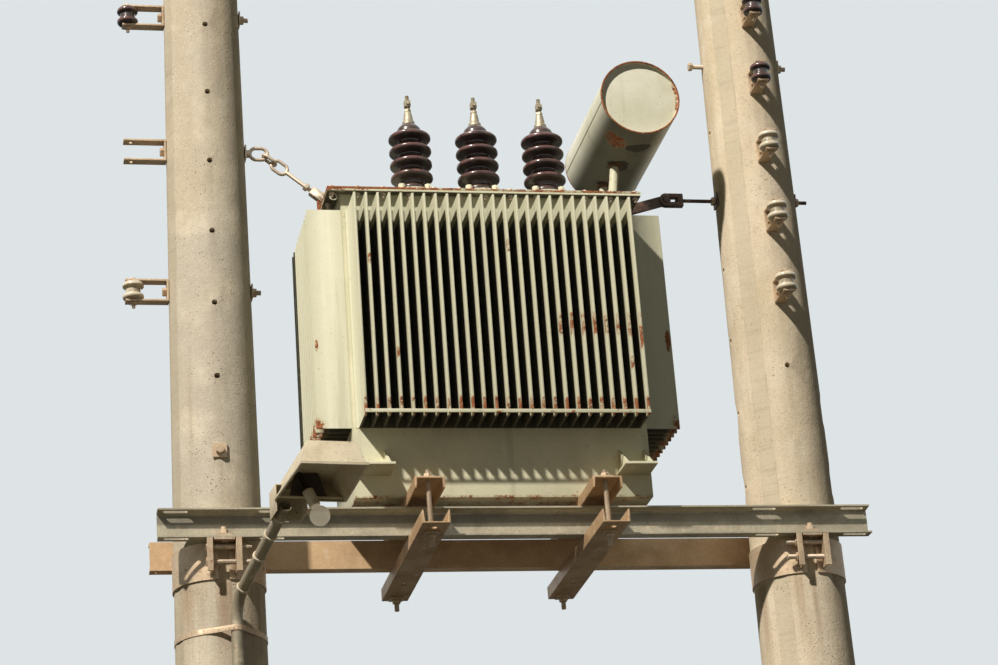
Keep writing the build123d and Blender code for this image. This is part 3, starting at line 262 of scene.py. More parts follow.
# %% [markdown]
# ## Old transformer paint
# The tank was sprayed in a pale green grey. The sun has chalked it, rain has drawn faint streaks, and rust
# has broken through where water stands: at the feet of the fins, along the lid's edge and on the drum's rims.
# One function mixes the paint. A piece passes the mask of its rusty places, and noise breaks that mask up.
# The drum's rims rust all over, and small parts in specks only, so an even mask is enough for them.

# %% Paint with rust in its own places
RUST = (166, 100, 60)
DARK_RUST = (74, 46, 32)
DIRT = (120, 112, 88)
PAINTED_SHADE = (52, 47, 36)


def paint(name, rusty_place, painted_shade_place=None, spots=0.7, base=(206, 203, 175)):
    """Chalky tank paint. The two rules get the finish and return a mask: one for rust, one for painted shade.
    """
    finish = Finish(name, base, 0.55)
    finish.stain((204, 200, 170), (3, 6), 0.4, 0.7, strength=0.8)
    finish.stain((230, 226, 202), (8, 6, STREAK), 0.5, 0.75, 0.65, 0.7)
    finish.stain(DIRT, (14, 6, STREAK, 4), 0.55, 0.75, 0.75, 0.3)
    finish.stain(DIRT, (70, 3), 0.58, 0.75, 0.7, 0.25)
    if painted_shade_place is not None:
        # Painted shade: a dark colour laid where the piece's mask says shade falls.
        finish.lay(painted_shade_place(finish), PAINTED_SHADE, 0.9)
    speck = finish.blotches(46, 5, shift=9).step(spots, spots + 0.04)
    fine, coarse = finish.blotches(110, 4, shift=1), finish.blotches(26, 5, shift=1)
    patch = fine * 0.4 + coarse * 0.6 + rusty_place(finish)
    rust = speck | patch.step(0.86, 0.94)
    finish.lay(patch.step(0.72, 0.9), (176, 146, 106), 0.7, 0.45)
    tone = finish.blotches(90, 5).step(0.46, 0.66)
    both = finish.node("ShaderNodeMix", {0: tone, 6: RUST, 7: DARK_RUST}, 2, data_type="RGBA")
    finish.lay(rust, both, 0.92)
    finish.raise_by(finish.blotches(18, 3), 0.0012)
    finish.raise_by(rust * finish.blotches(200, 3), 0.002)
    return finish.done()


rim_paint = paint("paint_drum_rim", lambda finish: 0.53)
clean_paint = paint("paint_clean", lambda finish: 0.16, spots=0.62)
print("paint nodes:", len(clean_paint.node_tree.nodes))

# %% [markdown]
# The fins rust at their feet, where drops hang, and in single spots where a stone or a tool has hit them.
# Painted shade darkens the fins deep between them and wherever they face the ground. The masks are sums of
# places: how far out a point lies from the tank's wall, how far along, and how high. Painting them by hand
# would be quick on flat sheets, but no brush gets between the fins.

# %% Rust and painted shade of the fins
tank_low, tank_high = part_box("tank")
tank_middle = (tank_low + tank_high) / 2
TANK_HALF = (0.57, 0.2335)
BANK_HALF = (0.5445, 0.2295)
BANK_DEPTH = (0.133, 0.167)
FADE = 0.3
FRONT_SPOTS = (
    (0.655, 5.341, 0.012, 0.03),
    (0.57, 5.719, 0.012, 0.03),
    (1.107, 5.781, 0.012, 0.035),
    (1.553, 5.306, 0.014, 0.035),
    (1.597, 5.397, 0.014, 0.05),
)
SIDE_SPOTS = ((0.375, 5.43, 0.01, 0.035), (1.752, 5.46, 0.014, 0.07))


def ellipse(across, along, fade):
    """White inside an ellipse. Both measures are 1 at its edge, and it fades from the share given."""
    return (across * across + along * along).step(1.0, fade)


def spots_at(finish, rows):
    """White in any of the spots, each given by its place and half its size in X and Z."""
    masks = [ellipse((finish.x - x) / wide, (finish.z - z) / high, FADE) for x, z, wide, high in rows]
    return reduce(or_, masks)


def rust_at_feet(finish):
    """The last centimetres of the fins, worse towards the right, and a few patches half way up."""
    x, z = finish.x, finish.z
    front = finish.y.step(-0.335, -0.355)
    foot = z.step(5.19, 5.15) * front * (0.4 + 0.04 * x.step(0.5, 1.5))
    band = front * z.step(5.38, 5.43) * z.step(5.54, 5.49) * x.step(1.15, 1.3) * x.step(1.62, 1.61)
    single = front * spots_at(finish, FRONT_SPOTS) | spots_at(finish, SIDE_SPOTS)
    corner = z.step(5.2, 5.11) * abs(x - tank_middle.x).step(0.6, 0.7)
    return foot | band * 0.4 | single * 0.42 | corner * 0.42


def between_fins(out, along, depth, unshaded, shaded, half):
    """White between the fins of a bank, for painted shade: unshaded up to one depth behind their fronts, full
    from the other.
    """
    behind = out.step(depth - unshaded, depth - shaded) * out.step(0.0, 0.001)
    return behind * along.step(half - 0.0004, half - 0.001)


def shade_in_gaps(finish):
    """Painted shade deep between the fins, on faces turned from the light, and on everything that faces the
    ground.
    """
    off_x, off_y = abs(finish.x - tank_middle.x), abs(finish.y - tank_middle.y)
    out_x, out_y = off_x - TANK_HALF[0], off_y - TANK_HALF[1]
    front = between_fins(out_y, off_x, BANK_DEPTH[1], 0.02, 0.048, BANK_HALF[0])
    side = between_fins(out_x, off_y, BANK_DEPTH[0], 0.012, 0.035, BANK_HALF[1])
    normal_x, _, normal_z = finish.normal()
    gaps = (front | side) * (finish.z.step(5.918, 5.904) | normal_x.step(-0.9, -0.5) * 0.75)
    under = normal_z.step(-0.4, -0.9) * finish.z.step(5.3, 5.2)
    return (gaps | under * (0.4 + 0.55 * out_x.step(0.0, 0.01))) * 0.93


fin_paint = paint("paint_fins", rust_at_feet, shade_in_gaps)
print("fin paint nodes:", len(fin_paint.node_tree.nodes))

# %% [markdown]
# The tank rusts along its bottom edge and under the lid's rim, and the lid along its upper edge. The rim and
# the lid are worst at the left front corner, and whatever faces the ground is darkened with painted shade.

# %% Rust and painted shade of the tank and its lid


def rust_at_lid_edge(finish):
    """The upper line of the lid's edge, worst at its left front corner."""
    edge = finish.y.step(-0.22, -0.243) | finish.x.step(0.46, 0.44)
    return edge * (0.41 + 0.18 * finish.x.step(0.85, 0.55))


def rust_at_tank_edges(finish):
    """The bottom edge of the tank, and the rim below the lid, worst at its left front corner."""
    rim = finish.z.step(6.057, 6.062) * (0.2 + 0.2 * finish.x.step(0.8, 0.5))
    return finish.z.step(4.838, 4.826) * 0.34 | rim


def shade_below(finish):
    """Painted shade on the undersides of the tank and of its rim, broken up by noise."""
    under = finish.normal()[2].step(-0.4, -0.9)
    return under * finish.blotches(9, 4).step(0.2, 0.45) * (0.4 + 0.5 * finish.z.step(5.9, 6.0))


# Painted light: the tank's paint gets a brighter base than the lid's, which lifts its shaded lower wall.
tank_paint = paint("paint_tank", rust_at_tank_edges, shade_below, base=(226, 221, 190))
lid_paint = paint("paint_lid", rust_at_lid_edge)
print("tank paint nodes:", len(tank_paint.node_tree.nodes))

# %% [markdown]
# The oil drum lies on its side above the lid. Its rolled rims stand proud of the end discs and hold rain,
# so rust rings both ends. The distance from the drum's axis picks them out.

# %% Paint for the drum
drum_low, drum_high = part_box("conservator_shell")
drum_middle = (drum_low + drum_high) / 2
drum_radius = (drum_high.z - drum_low.z) / 2


def on_the_drum(finish):
    """Where a point lies on the drum: how far out, its turn from the bottom in degrees, and along it."""
    side, down = finish.x - drum_middle.x, drum_middle.z - finish.z
    return (side * side + down * down).maths("SQRT"), side.maths("ARCTAN2", down) * (180 / pi), finish.y


def drum_skin(reach):
    """White on the outside of the drum's shell."""
    return reach.step(drum_radius - 0.003, drum_radius - 0.001)


def round_patch(finish, turn, along, half_turn, half_long):
    """White inside an ellipse on the drum's skin."""
    _, angle, axis = on_the_drum(finish)
    return ellipse((angle - turn) / half_turn, (axis - along) / half_long, 0.35)


def rust_round_rims(finish):
    """A ring of rust at each end of the drum, patches inside the front rim, and one above the front leg."""
    reach, turn, axis = on_the_drum(finish)
    half_length = (drum_high.y - drum_low.y) / 2
    end = abs(axis - drum_middle.y).step(half_length - 0.02, half_length - 0.002)
    ring = reach.step(drum_radius - 0.014, drum_radius - 0.004)
    inside = reach.step(drum_radius - 0.02, drum_radius - 0.01) * axis.step(-0.2, -0.27)
    right_side = turn.step(62, 75) * turn.step(128, 112)
    patch = drum_skin(reach) * round_patch(finish, -33, -0.18, 24, 0.068)
    spots = drum_skin(reach) * round_patch(finish, 34, -0.18, 18, 0.05)
    return end * ring * 0.48 | right_side * inside * 0.41 | patch * 0.43 | spots * 0.3


def shade_under_drum(finish):
    """Painted shade on its underside, darkest in patches beside the legs."""
    reach, turn, _ = on_the_drum(finish)
    under = turn.step(-80, -45) * turn.step(46, 14) * 0.8
    stain = round_patch(finish, 4, -0.165, 26, 0.045) | round_patch(finish, -8, 0.0, 18, 0.06)
    ragged = stain * 0.55 + finish.blotches(22, 6, shift=3)
    return drum_skin(reach) * (under | ragged.step(0.84, 0.98) * 0.97)


# Painted light: the drum's paint gets a brighter base than the lid's, which lifts its end disc.
drum_paint = paint("paint_drum", rust_round_rims, shade_under_drum, base=(230, 227, 206))
print("drum radius:", round(drum_radius, 4), "axis at", [round(value, 3) for value in drum_middle])

# %% [markdown]
# ## Galvanised steel
# Zinc from a hot bath freezes in flakes called spangle. Years outdoors dull it to a dusty, pinkish grey,
# with brown freckles where the zinc has gone. Voronoi cells give the spangle, and two noises the dirt.

# %% Galvanised steel, new and dark


def galvanised(name, base, dark, freckle=0.68, metal=0.35, web_shade=None):
    """Weathered zinc. A lower freckle gives more rust. Painted shade lies between the two heights of
    web_shade.
    """
    finish = Finish(name, base, 0.55, Metallic=metal)
    finish.lay(finish.cells(90).step(0.2, 0.7), dark, strength=0.2)
    finish.stain(dark, (6, 6), 0.42, 0.7, 0.7, 0.55)
    finish.stain((226, 206, 180), (22, 6, EVEN, 6), 0.55, 0.72, 0.6, 0.5)
    if web_shade:
        # Painted shade on the web below the upper flange, fading out towards the right.
        inside = finish.z.step(web_shade[0], web_shade[0] + 0.012) * finish.z.step(web_shade[1], web_shade[1] - 0.006)
        finish.lay(inside * finish.x.step(2.6, 1.2), (96, 92, 82), 0.7, 0.62)
    freckles = finish.blotches(60, 6, shift=2)
    rust = freckles.step(freckle, freckle + 0.06)
    finish.lay(freckles.step(freckle - 0.1, freckle), (150, 104, 72), 0.8, 0.45)
    finish.lay(rust, RUST, 0.95, 0.9)
    finish.raise_by(finish.blotches(150, 3), 0.0008)
    finish.raise_by(rust * finish.blotches(300, 2), 0.0012)
    return finish.done()


beam_low, beam_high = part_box("platform_beam_front")
web_shade_heights = (beam_low.z + 0.055, beam_high.z - 0.014)
zinc = galvanised("zinc", (204, 180, 150), (150, 128, 102))
grey_zinc = galvanised("zinc_grey", (190, 180, 156), (128, 120, 104), 0.7, web_shade=web_shade_heights)
arm_zinc = galvanised("zinc_arm", (166, 154, 130), (112, 102, 84), 0.7)
sand_zinc = galvanised("zinc_sand", (222, 188, 146), (176, 142, 106), 0.74)
tan_zinc = galvanised("zinc_tan", (196, 164, 126), (142, 110, 80))
bright_zinc = galvanised("zinc_bright", (206, 188, 166), (160, 142, 120), 0.7, 0.5)
dark_steel = galvanised("dark_steel", (84, 64, 52), (54, 42, 36), 0.66)
print("steel finishes:", zinc.name, bright_zinc.name, dark_steel.name)

# %% [markdown]
# ## Glazed porcelain
# Insulators are dipped in a glass glaze before they are fired. It runs thin on the rims of the sheds, so
# the rims look paler, and a painted highlight adds to that. Dust lies on whatever faces up, and painted
# shade darkens the undersides. The pieces carry an attribute named `rim` that is 1 at their widest places,
# because a rule on the radius is simpler to follow than one on the place.

# %% Brown and cream porcelain


def porcelain(name, base, thin_glaze_and_highlight, dust, dust_share, under):
    """Glaze over clay, paler on the rims from thin glaze and a painted highlight, dusty on top, and with
    painted shade on the undersides.
    """
    finish = Finish(name, base, 0.2, Coat_Weight=0.4, Coat_Roughness=0.12)
    finish.stain(thin_glaze_and_highlight, (12, 5), 0.4, 0.7, strength=0.12)
    rim = finish.node("ShaderNodeAttribute", output="Fac", attribute_name="rim")
    # Paler rims: thin glaze, and a painted highlight.
    finish.lay(rim.step(0.9, 0.99) * finish.blotches(26, 5).step(0.25, 0.6), thin_glaze_and_highlight, 0.3, 0.85)
    groove = rim.step(0.86, 0.7) * finish.blotches(40, 5, shift=7).step(0.3, 0.6)
    finish.lay(groove, dust, 0.6, dust_share)
    upward = finish.normal()[2]
    # Painted shade on the undersides.
    finish.lay(upward.step(-0.25, -0.7), under, 0.75, 0.7)
    settled = upward.step(0.2, 0.9) * finish.blotches(34, 6, shift=5).step(0.35, 0.65)
    finish.lay(settled, dust, 0.75, dust_share)
    finish.stain(dust, (90, 4, EVEN, 8), 0.62, 0.75, 0.6, 0.35)
    finish.raise_by(finish.blotches(20, 2), 0.0008)
    return finish.done()


brown_glaze = porcelain("porcelain_brown", (44, 26, 24), (112, 74, 66), (120, 94, 78), 0.28, (24, 15, 13))
cream_colours = ((212, 198, 170), (228, 216, 192), (112, 92, 68), 0.7, (150, 132, 104))
cream_glaze = porcelain("porcelain_cream", *cream_colours)
print("glazes:", brown_glaze.name, cream_glaze.name)

# %% [markdown]
# ## Metal terminals, lamp housing, holder and bulb
# The caps of the bushings are tinned metal that has gone dull. The lamp's housing is painted sheet,
# its holder is fired clay, and the bulb is milky glass with a film of dust. The tray in the housing, the tape
# on the pipe and the crust of rust on the drum follow the same rule, with colours of their own.

# %% Small finishes


def small_finish(name, base, stain, roughness, size=16, dark_above=None, **constants):
    """One large stain, fine dirt and a few dark specks. A dark colour may cover what lies above a level."""
    finish = Finish(name, base, roughness, **constants)
    finish.stain(stain, (size, 6), 0.42, 0.68, min(1.0, roughness + 0.2), 0.65)
    finish.stain(stain, (size * 6, 5, EVEN, 3), 0.56, 0.7, 0.8, 0.6)
    finish.stain(DARK_RUST, (size * 9, 3, EVEN, 6), 0.66, 0.72, 0.9, 0.7)
    finish.raise_by(finish.blotches(size * 4, 3), 0.0008)
    if dark_above is not None:
        # Everything above the given level is laid dark.
        finish.lay(finish.z.step(dark_above, dark_above + 0.004), (48, 38, 32))
    return finish.done()


# Painted light: a faint glow stands in for the daylight that passes through the bulb's milky glass.
PAINTED_GLOW = {"Emission_Color": (1.0, 0.86, 0.62, 1.0), "Emission_Strength": 0.17}
terminal_metal = small_finish("terminal_metal", (184, 174, 150), (128, 106, 80), 0.5, 40, Metallic=0.45)
lamp_paint = small_finish("lamp_paint", (214, 200, 172), (176, 160, 130), 0.5, 9)
tray_steel = small_finish("lamp_tray", (58, 44, 36), (34, 26, 22), 0.7, 24)
holder_clay = small_finish("holder_clay", (226, 214, 190), (176, 156, 126), 0.4, 30, dark_above=4.668)
bulb_glass = small_finish("bulb_glass", (238, 228, 204), (214, 202, 176), 0.25, 22, **PAINTED_GLOW)
rubber_tape = small_finish("tape", (228, 214, 188), (160, 140, 112), 0.8, 30)
rust_crust = small_finish("rust_crust", (96, 72, 52), (64, 46, 34), 0.92, 40)
print("finishes so far:", len(bpy.data.materials))

# %% [markdown]
# ## Soft edges
# No rolled, folded or cast edge is perfectly sharp, and it is the rounded edge that catches the light.
# A CAD mesh is a heap of loose triangles, so it stays as it is. A copy gets its doubles merged and its flat
# triangles joined to whole faces. Then only the long, sharp edges are bevelled. The round poles have none, so
# they keep their CAD mesh and only get a finish. The record names the material slot of every node.

# %% Copy a CAD node with rounded edges
SHARP = radians(25)
FLAT = radians(0.6)
CORNER = radians(40)
SLOTS = {part["node"]: part["material_slot"] for part in frame["record"]["subparts"]}


def plain_piece(name, mesh, slot, *nodes):
    """Make an object of a mesh, smooth where its faces nearly line up, that stands for the nodes named."""
    mesh.shade_smooth()
    mesh.set_sharp_from_angle(angle=SHARP)
    piece = bpy.data.objects.new(name, mesh)
    bpy.context.scene.collection.objects.link(piece)
    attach(piece, "root")
    if nodes:
        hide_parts(*nodes)
    return piece


def bevel(shape, width, segments, shortest, pick):
    """Round the edges that are long, turn a real corner of the solid, and are picked."""
    edges = [edge for edge in shape.edges if len(edge.link_faces) == 2 and edge.calc_length() > shortest]
    edges = [edge for edge in edges if edge.calc_face_angle(0) > CORNER and pick(edge)]
    rules = {"profile": 0.5, "affect": "EDGES", "clamp_overlap": True}
    bmesh.ops.bevel(shape, geom=edges, offset=width, segments=segments, **rules)


def soften(node, finish, width=0.002, shortest=0.012, pick=lambda edge: True, bold=None):
    """Replace a CAD node by a copy with rounded edges. bold picks a few that get four times the width."""
    shape = bmesh.new()
    shape.from_mesh(frame["nodes"][node].data)
    bmesh.ops.remove_doubles(shape, verts=shape.verts, dist=1e-5)
    bmesh.ops.dissolve_limit(shape, angle_limit=FLAT, verts=shape.verts, edges=shape.edges)
    if bold is not None:
        bevel(shape, 4 * width, 4, shortest, bold)
    bevel(shape, width, 2, shortest, pick)
    bmesh.ops.triangulate(shape, faces=[face for face in shape.faces if len(face.verts) > 4])
    mesh = bpy.data.meshes.new(node + "_soft")
    shape.to_mesh(mesh)
    shape.free()
    mesh.materials.append(finish)
    return plain_piece(node + "_soft", mesh, SLOTS[node], node)


for node, finish in (("pole_left", left_concrete), ("pole_right", right_concrete)):
    pole = frame["nodes"][node]
    pole.data.materials.clear()
    pole.data.materials.append(finish)
for node, finish in (("platform_beam_front", grey_zinc), ("platform_beam_back", sand_zinc)):
    print(node, "faces:", len(soften(node, finish).data.polygons))
for node in ("bearer_upper_left", "bearer_upper_right", "bearer_lower_left", "bearer_lower_right"):
    soften(node, tan_zinc)

# %% [markdown]
# ## Tank, lid and fins
# The fins are folded from one steel sheet. The press leaves a small radius on the front of each fold,
# so only the edges at the front of the fins are rounded. The tank, the lid and the lugs get a cut edge's
# small break. The four banks of fins share one picking rule, told by how far out an edge lies.

# %% Round the tank and the folds of the fins
FOLD_RADIUS = 0.0028


def outermost(node, axis):
    """A rule that picks the edges of a fin bank that lie on its outer face."""
    low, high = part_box(node)
    far = high[axis] if high[axis] - tank_middle[axis] > tank_middle[axis] - low[axis] else low[axis]
    return lambda edge: all(abs(vertex.co[axis] - far) < 1e-4 for vertex in edge.verts)


for node, axis in (("fins_front", 1), ("fins_back", 1), ("fins_left", 0), ("fins_right", 0)):
    piece = soften(node, fin_paint, FOLD_RADIUS, 0.004, outermost(node, axis))
    print(node, "faces:", len(piece.data.polygons))
soften("tank", tank_paint, 0.0025)
soften("tank_lid", lid_paint, 0.002, 0.05)
soften("fin_bars", clean_paint, 0.0012)
soften("jacking_lugs", tank_paint, 0.0015)
soften("lid_lugs", lid_paint, 0.0015)

# %% [markdown]
# ## Drum, ties, brackets and lamp
# The same call serves the rest of the sheet and bar parts. Each row of the table names a finish, the width
# of the rounding, the shortest edge that gets it, and the nodes. Round bars need no rounding: they only get
# smooth shading, which the helper gives to faces that meet at less than 25 degrees. The roof of the lamp's
# housing is pressed, so its upper edges are rounder than its rim.

# %% Round the smaller parts
SMALL_PARTS = (
    (drum_paint, 0.0012, 0.05, "conservator_shell", "conservator_ends"),
    (clean_paint, 0.0012, 0.05, "conservator_legs"),
    (zinc, 0.0015, 0.03, "collar_left_outer", "collar_left_inner"),
    (zinc, 0.0015, 0.03, "collar_right_inner", "collar_right_outer"),
    (bright_zinc, 0.001, 0.012, "tie_left_eye", "tie_left_link", "tie_left_rod", "tie_left_clevis"),
    (dark_steel, 0.0015, 0.012, "tie_right_strap", "tie_right_fork"),
    (zinc, 0.0012, 0.03, "brackets_left", "bracket_left_empty", "brackets_right"),
    (arm_zinc, 0.0005, 0.012, "lamp_arm"),
    (zinc, 0.0005, 0.012, "lamp_arm_straps"),
    (lamp_paint, 0.002, 0.04, "lamp_hood"),
    (holder_clay, 0.001, 0.012, "lamp_socket"),
    (bulb_glass, 0.0005, 0.012, "lamp_bulb"),
    (terminal_metal, 0.001, 0.012, "lv_terminals"),
)
hood_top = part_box("lamp_hood")[1].z - 0.0015
BOLD = {"lamp_hood": lambda edge: max(vertex.co.z for vertex in edge.verts) > hood_top}
for finish, width, shortest, *nodes in SMALL_PARTS:
    for node in nodes:
        soften(node, finish, width, shortest, bold=BOLD.get(node))

# %% [markdown]
# ## A workshop for Geometry Nodes
# Nuts, threads, weld beads and insulators repeat by a rule, so node trees make them. Each tree gets a mesh
# of points or lines that says where, named inputs that say how big, and a material. The result is turned
# into a plain mesh, because the export keeps plain meshes only.

# %% Start a tree and run it


class Grower:
    """A Geometry Nodes tree with a mesh in, one number input for each size, and a material input."""

    def __init__(self, name, **sizes):
        self.tree = bpy.data.node_groups.new(name, "GeometryNodeTree")
        self.sizes = {size: float(value) for size, value in sizes.items()}
        kinds = {"Mesh": "Geometry", **dict.fromkeys(sizes, "Float"), "Finish": "Material"}
        for socket, kind in kinds.items():
            self.tree.interface.new_socket(socket, in_out="INPUT", socket_type="NodeSocket" + kind)
        self.tree.interface.new_socket("Result", in_out="OUTPUT", socket_type="NodeSocketGeometry")
        entries = self.tree.nodes.new("NodeGroupInput").outputs
        self.entry = {socket.name: Value(self.tree, socket) for socket in entries}

    def node(self, kind, inputs=None, output=0, **settings):
        return add_node(self.tree, kind, inputs, output, **settings)

    def run(self, shape, where, finish):
        """Make instances real, set the material, run the tree on a mesh, and return a plain mesh."""
        real = self.node("GeometryNodeRealizeInstances", {0: shape})
        painted = self.node("GeometryNodeSetMaterial", {"Geometry": real, "Material": self.entry["Finish"]})
        self.node("NodeGroupOutput", {0: painted})
        seed = bpy.data.objects.new(self.tree.name, where)
        bpy.context.scene.collection.objects.link(seed)
        modifier = seed.modifiers.new("grow", "NODES")
        modifier.node_group = self.tree
        sockets = {item.name: item.identifier for item in self.tree.interface.items_tree}
        for name, value in {**self.sizes, "Finish": finish}.items():
            modifier[sockets[name]] = value
        grown = bpy.data.meshes.new_from_object(seed.evaluated_get(bpy.context.evaluated_depsgraph_get()))
        grown.materials.clear()
        grown.materials.append(finish)
        bpy.data.objects.remove(seed)
        return grown


print("Geometry Nodes workshop is ready")

# %% [markdown]
# ## Tubes that swell
# Threads, weld beads, nuts and insulators are all one idea: a line that becomes a tube, with a radius that
# changes on the way. Curve to Mesh sweeps a circle along the line and scales it by the radius of each point.

# %% Sweep a circle along a line, and lay points and lines out


def tube(grower, line, radius, sides):
    """Turn a line into a closed tube with a radius of its own at every point."""
    sized = grower.node("GeometryNodeSetCurveRadius", {"Curve": line, "Radius": radius})
    circle = grower.node("GeometryNodeCurvePrimitiveCircle", {"Resolution": sides, "Radius": 1.0})
    scale = grower.node("GeometryNodeInputRadius")
    swept = {"Curve": sized, "Profile Curve": circle, "Scale": scale, "Fill Caps": True}
    return grower.node("GeometryNodeCurveToMesh", swept)


def point_mesh(seats):
    """A mesh of loose points, one for each seat, which is a place and the way that the thing on it faces."""
    mesh = bpy.data.meshes.new("places")
    mesh.from_pydata([tuple(place) for place, _ in seats], [], [])
    facing = mesh.attributes.new("facing", "FLOAT_VECTOR", "POINT")
    facing.data.foreach_set("vector", [number for _, way in seats for number in way])
    return mesh


def line_mesh(*paths):
    """A mesh of open lines. A path that comes back to its first point becomes a closed one."""
    corners, edges = [], []
    for path in paths:
        first = len(corners)
        closed = (Vector(path[0]) - Vector(path[-1])).length < 1e-6
        kept = path[:-1] if closed else path
        corners += [tuple(corner) for corner in kept]
        edges += [(first + i, first + i + 1) for i in range(len(kept) - 1)]
        if closed:
            edges.append((first + len(kept) - 1, first))
    mesh = bpy.data.meshes.new("lines")
    mesh.from_pydata(corners, edges, [])
    return mesh


def joined_piece(name, slot, meshes, *nodes):
    """Join meshes to one piece, each with its own material, and tell how many faces it has."""
    whole = bpy.data.meshes.new(name)
    shape = bmesh.new()
    for mesh in meshes:
        finish = mesh.materials[0]
        if finish.name not in whole.materials:
            whole.materials.append(finish)
        mesh.polygons.foreach_set("material_index", [whole.materials.find(finish.name)] * len(mesh.polygons))
        shape.from_mesh(mesh)
    shape.to_mesh(whole)
    shape.free()
    plain_piece(name, whole, slot, *nodes)
    print(name, "has", len(whole.polygons), "faces")


print("tube, point and line helpers are ready")

# %% [markdown]
# ## Turned shapes
# A potter turns an insulator against a template, and a nut is cut from a bar in a lathe. The tree does the
# same: a line of points runs up the axis, a Float Curve holds the template, and the tube swells with it.
# With forty sides the tube is round, and with six it is a nut. Spinning a drawn outline would work too,
# but here one curve can be reshaped without touching the rest.

# %% A tree that turns a profile


def turned(name, profile, finish, seats, sides=40, step=0.0016, corner="AUTO_CLAMPED", spin=0.0):
    """Turn a profile, a list of height and radius pairs, and stand it on every seat."""
    height = profile[-1][0]
    widest = max(radius for _, radius in profile)
    grower = Grower(name, Height=height, Widest=widest, Spin=spin)
    top = grower.node("ShaderNodeCombineXYZ", {2: grower.entry["Height"]})
    axis = grower.node("GeometryNodeCurvePrimitiveLine", {"End": top})
    count = max(2, round(height / step) + 1)
    line = grower.node("GeometryNodeResampleCurve", {"Curve": axis, "Count": count})
    share = grower.node("GeometryNodeSplineParameter", output="Factor")
    template = grower.node("ShaderNodeFloatCurve", {"Value": share})
    mapping = template.socket.node.mapping
    curve = mapping.curves[0]
    pairs = [(z / height, radius / widest) for z, radius in profile]
    curve.points[0].location, curve.points[1].location = pairs[0], pairs[-1]
    for pair in pairs[1:-1]:
        curve.points.new(*pair)
    for point in curve.points:
        point.handle_type = corner
    mapping.update()
    rim = {"Geometry": line, "Name": "rim", "Value": template}
    marked = grower.node("GeometryNodeStoreNamedAttribute", rim, data_type="FLOAT", domain="POINT")
    shape = tube(grower, marked, template * grower.entry["Widest"], sides)
    about = grower.node("ShaderNodeCombineXYZ", {2: grower.entry["Spin"]})
    spun = grower.node("GeometryNodeTransform", {"Geometry": shape, "Rotation": about})
    facing = grower.node("GeometryNodeInputNamedAttribute", {"Name": "facing"}, data_type="FLOAT_VECTOR")
    way = grower.node("FunctionNodeAlignRotationToVector", {"Vector": facing}, axis="Z")
    stood = {"Points": grower.entry["Mesh"], "Instance": spun, "Rotation": way}
    return grower.run(grower.node("GeometryNodeInstanceOnPoints", stood), point_mesh(seats), finish)


UP, DOWN = Vector((0, 0, 1)), Vector((0, 0, -1))
LEFT, RIGHT, FORWARD = Vector((-1, 0, 0)), Vector((1, 0, 0)), Vector((0, -1, 0))
print("turning works on", bpy.app.version_string)

# %% [markdown]
# ## High voltage bushings
# Each bushing is one porcelain body with four sheds. Rain drips off a shed's outer edge, so the surface
# below it stays dry and keeps insulating. The sheds follow one rule, so the template is written by a loop.

# %% Bushings of brown porcelain
HV_NODES = ("hv_bushing_left", "hv_bushing_middle", "hv_bushing_right")
HV_SHEDS = 4
HV_FOOT = 0.062
HV_PITCH = 0.058
HV_CORE = 0.048
HV_RIM = 0.0845
SHED = [(0.008, 0.0), (0.015, 0.64), (0.0205, 0.97), (0.026, 1.0), (0.033, 0.92), (0.043, 0.34)]
SHED += [(0.051, 0.04)]


def foot_of(node):
    """The middle of a node's lowest level."""
    low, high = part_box(node)
    return Vector(((low.x + high.x) / 2, (low.y + high.y) / 2, low.z))


hv_low, hv_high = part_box("hv_bushing_middle")
hv_height = hv_high.z - hv_low.z
hv_profile = [(0.0, 0.056), (0.003, 0.058), (0.04, 0.058), (0.046, 0.055), (0.058, HV_CORE)]
for shed in range(HV_SHEDS):
    foot = HV_FOOT + shed * HV_PITCH
    hv_profile += [(foot + rise, HV_CORE + share * (HV_RIM - HV_CORE)) for rise, share in SHED]
hv_profile += [(hv_height - 0.026, HV_CORE), (hv_height - 0.008, 0.036), (hv_height, 0.029)]
hv_places = [foot_of(node) for node in HV_NODES]
hv_mesh = turned("hv_porcelain", hv_profile, brown_glaze, [(place, UP) for place in hv_places])
plain_piece("hv_porcelain", hv_mesh, "brown_porcelain", *HV_NODES)
print("bushing faces:", len(hv_mesh.polygons), "height:", round(hv_height, 4))

# %% [markdown]
# ## Low voltage bushings and line spools
# The low voltage bushings at the back are short, with two ribs. The spools on the brackets have one deep
# groove for the line. Most are cream. The highest one on the left and the two highest on the right are brown.

# %% Short bushings and spools
LV_COUNT = 4
LV_RADIUS = 0.046
SPOOL_HEIGHT = 0.075
SPOOL_STEP = 0.31
SPOOL_COUNT = 5
POLE_LEAN = 0.0075
lv_low, lv_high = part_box("lv_bushings")
lv_step = (lv_high.x - lv_low.x - 2 * LV_RADIUS) / (LV_COUNT - 1)
lv_y = foot_of("lv_bushings").y
lv_seats = [((lv_low.x + LV_RADIUS + i * lv_step, lv_y, lv_low.z), UP) for i in range(LV_COUNT)]
lv_profile = [(0.0, 0.044), (0.003, 0.046), (0.014, 0.046), (0.028, 0.035), (0.041, 0.045), (0.05, 0.046)]
lv_profile += [(0.058, 0.045), (0.072, 0.035), (0.084, 0.035), (lv_high.z - lv_low.z, 0.03)]
lv_mesh = turned("lv_porcelain", lv_profile, brown_glaze, lv_seats)
plain_piece("lv_porcelain", lv_mesh, "brown_porcelain", "lv_bushings")

left_low, left_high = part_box("spools_left")
right_low, right_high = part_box("spools_right")
left_x, left_y, _ = foot_of("spools_left")
spool_radius = (right_high.x - right_low.x) / 2


def right_spool(level):
    """The right pole tapers, so its spools stand a little further back the higher they are."""
    back = right_low.y + spool_radius + POLE_LEAN * (level - right_low.z)
    return Vector(((right_low.x + right_high.x) / 2, back, level))


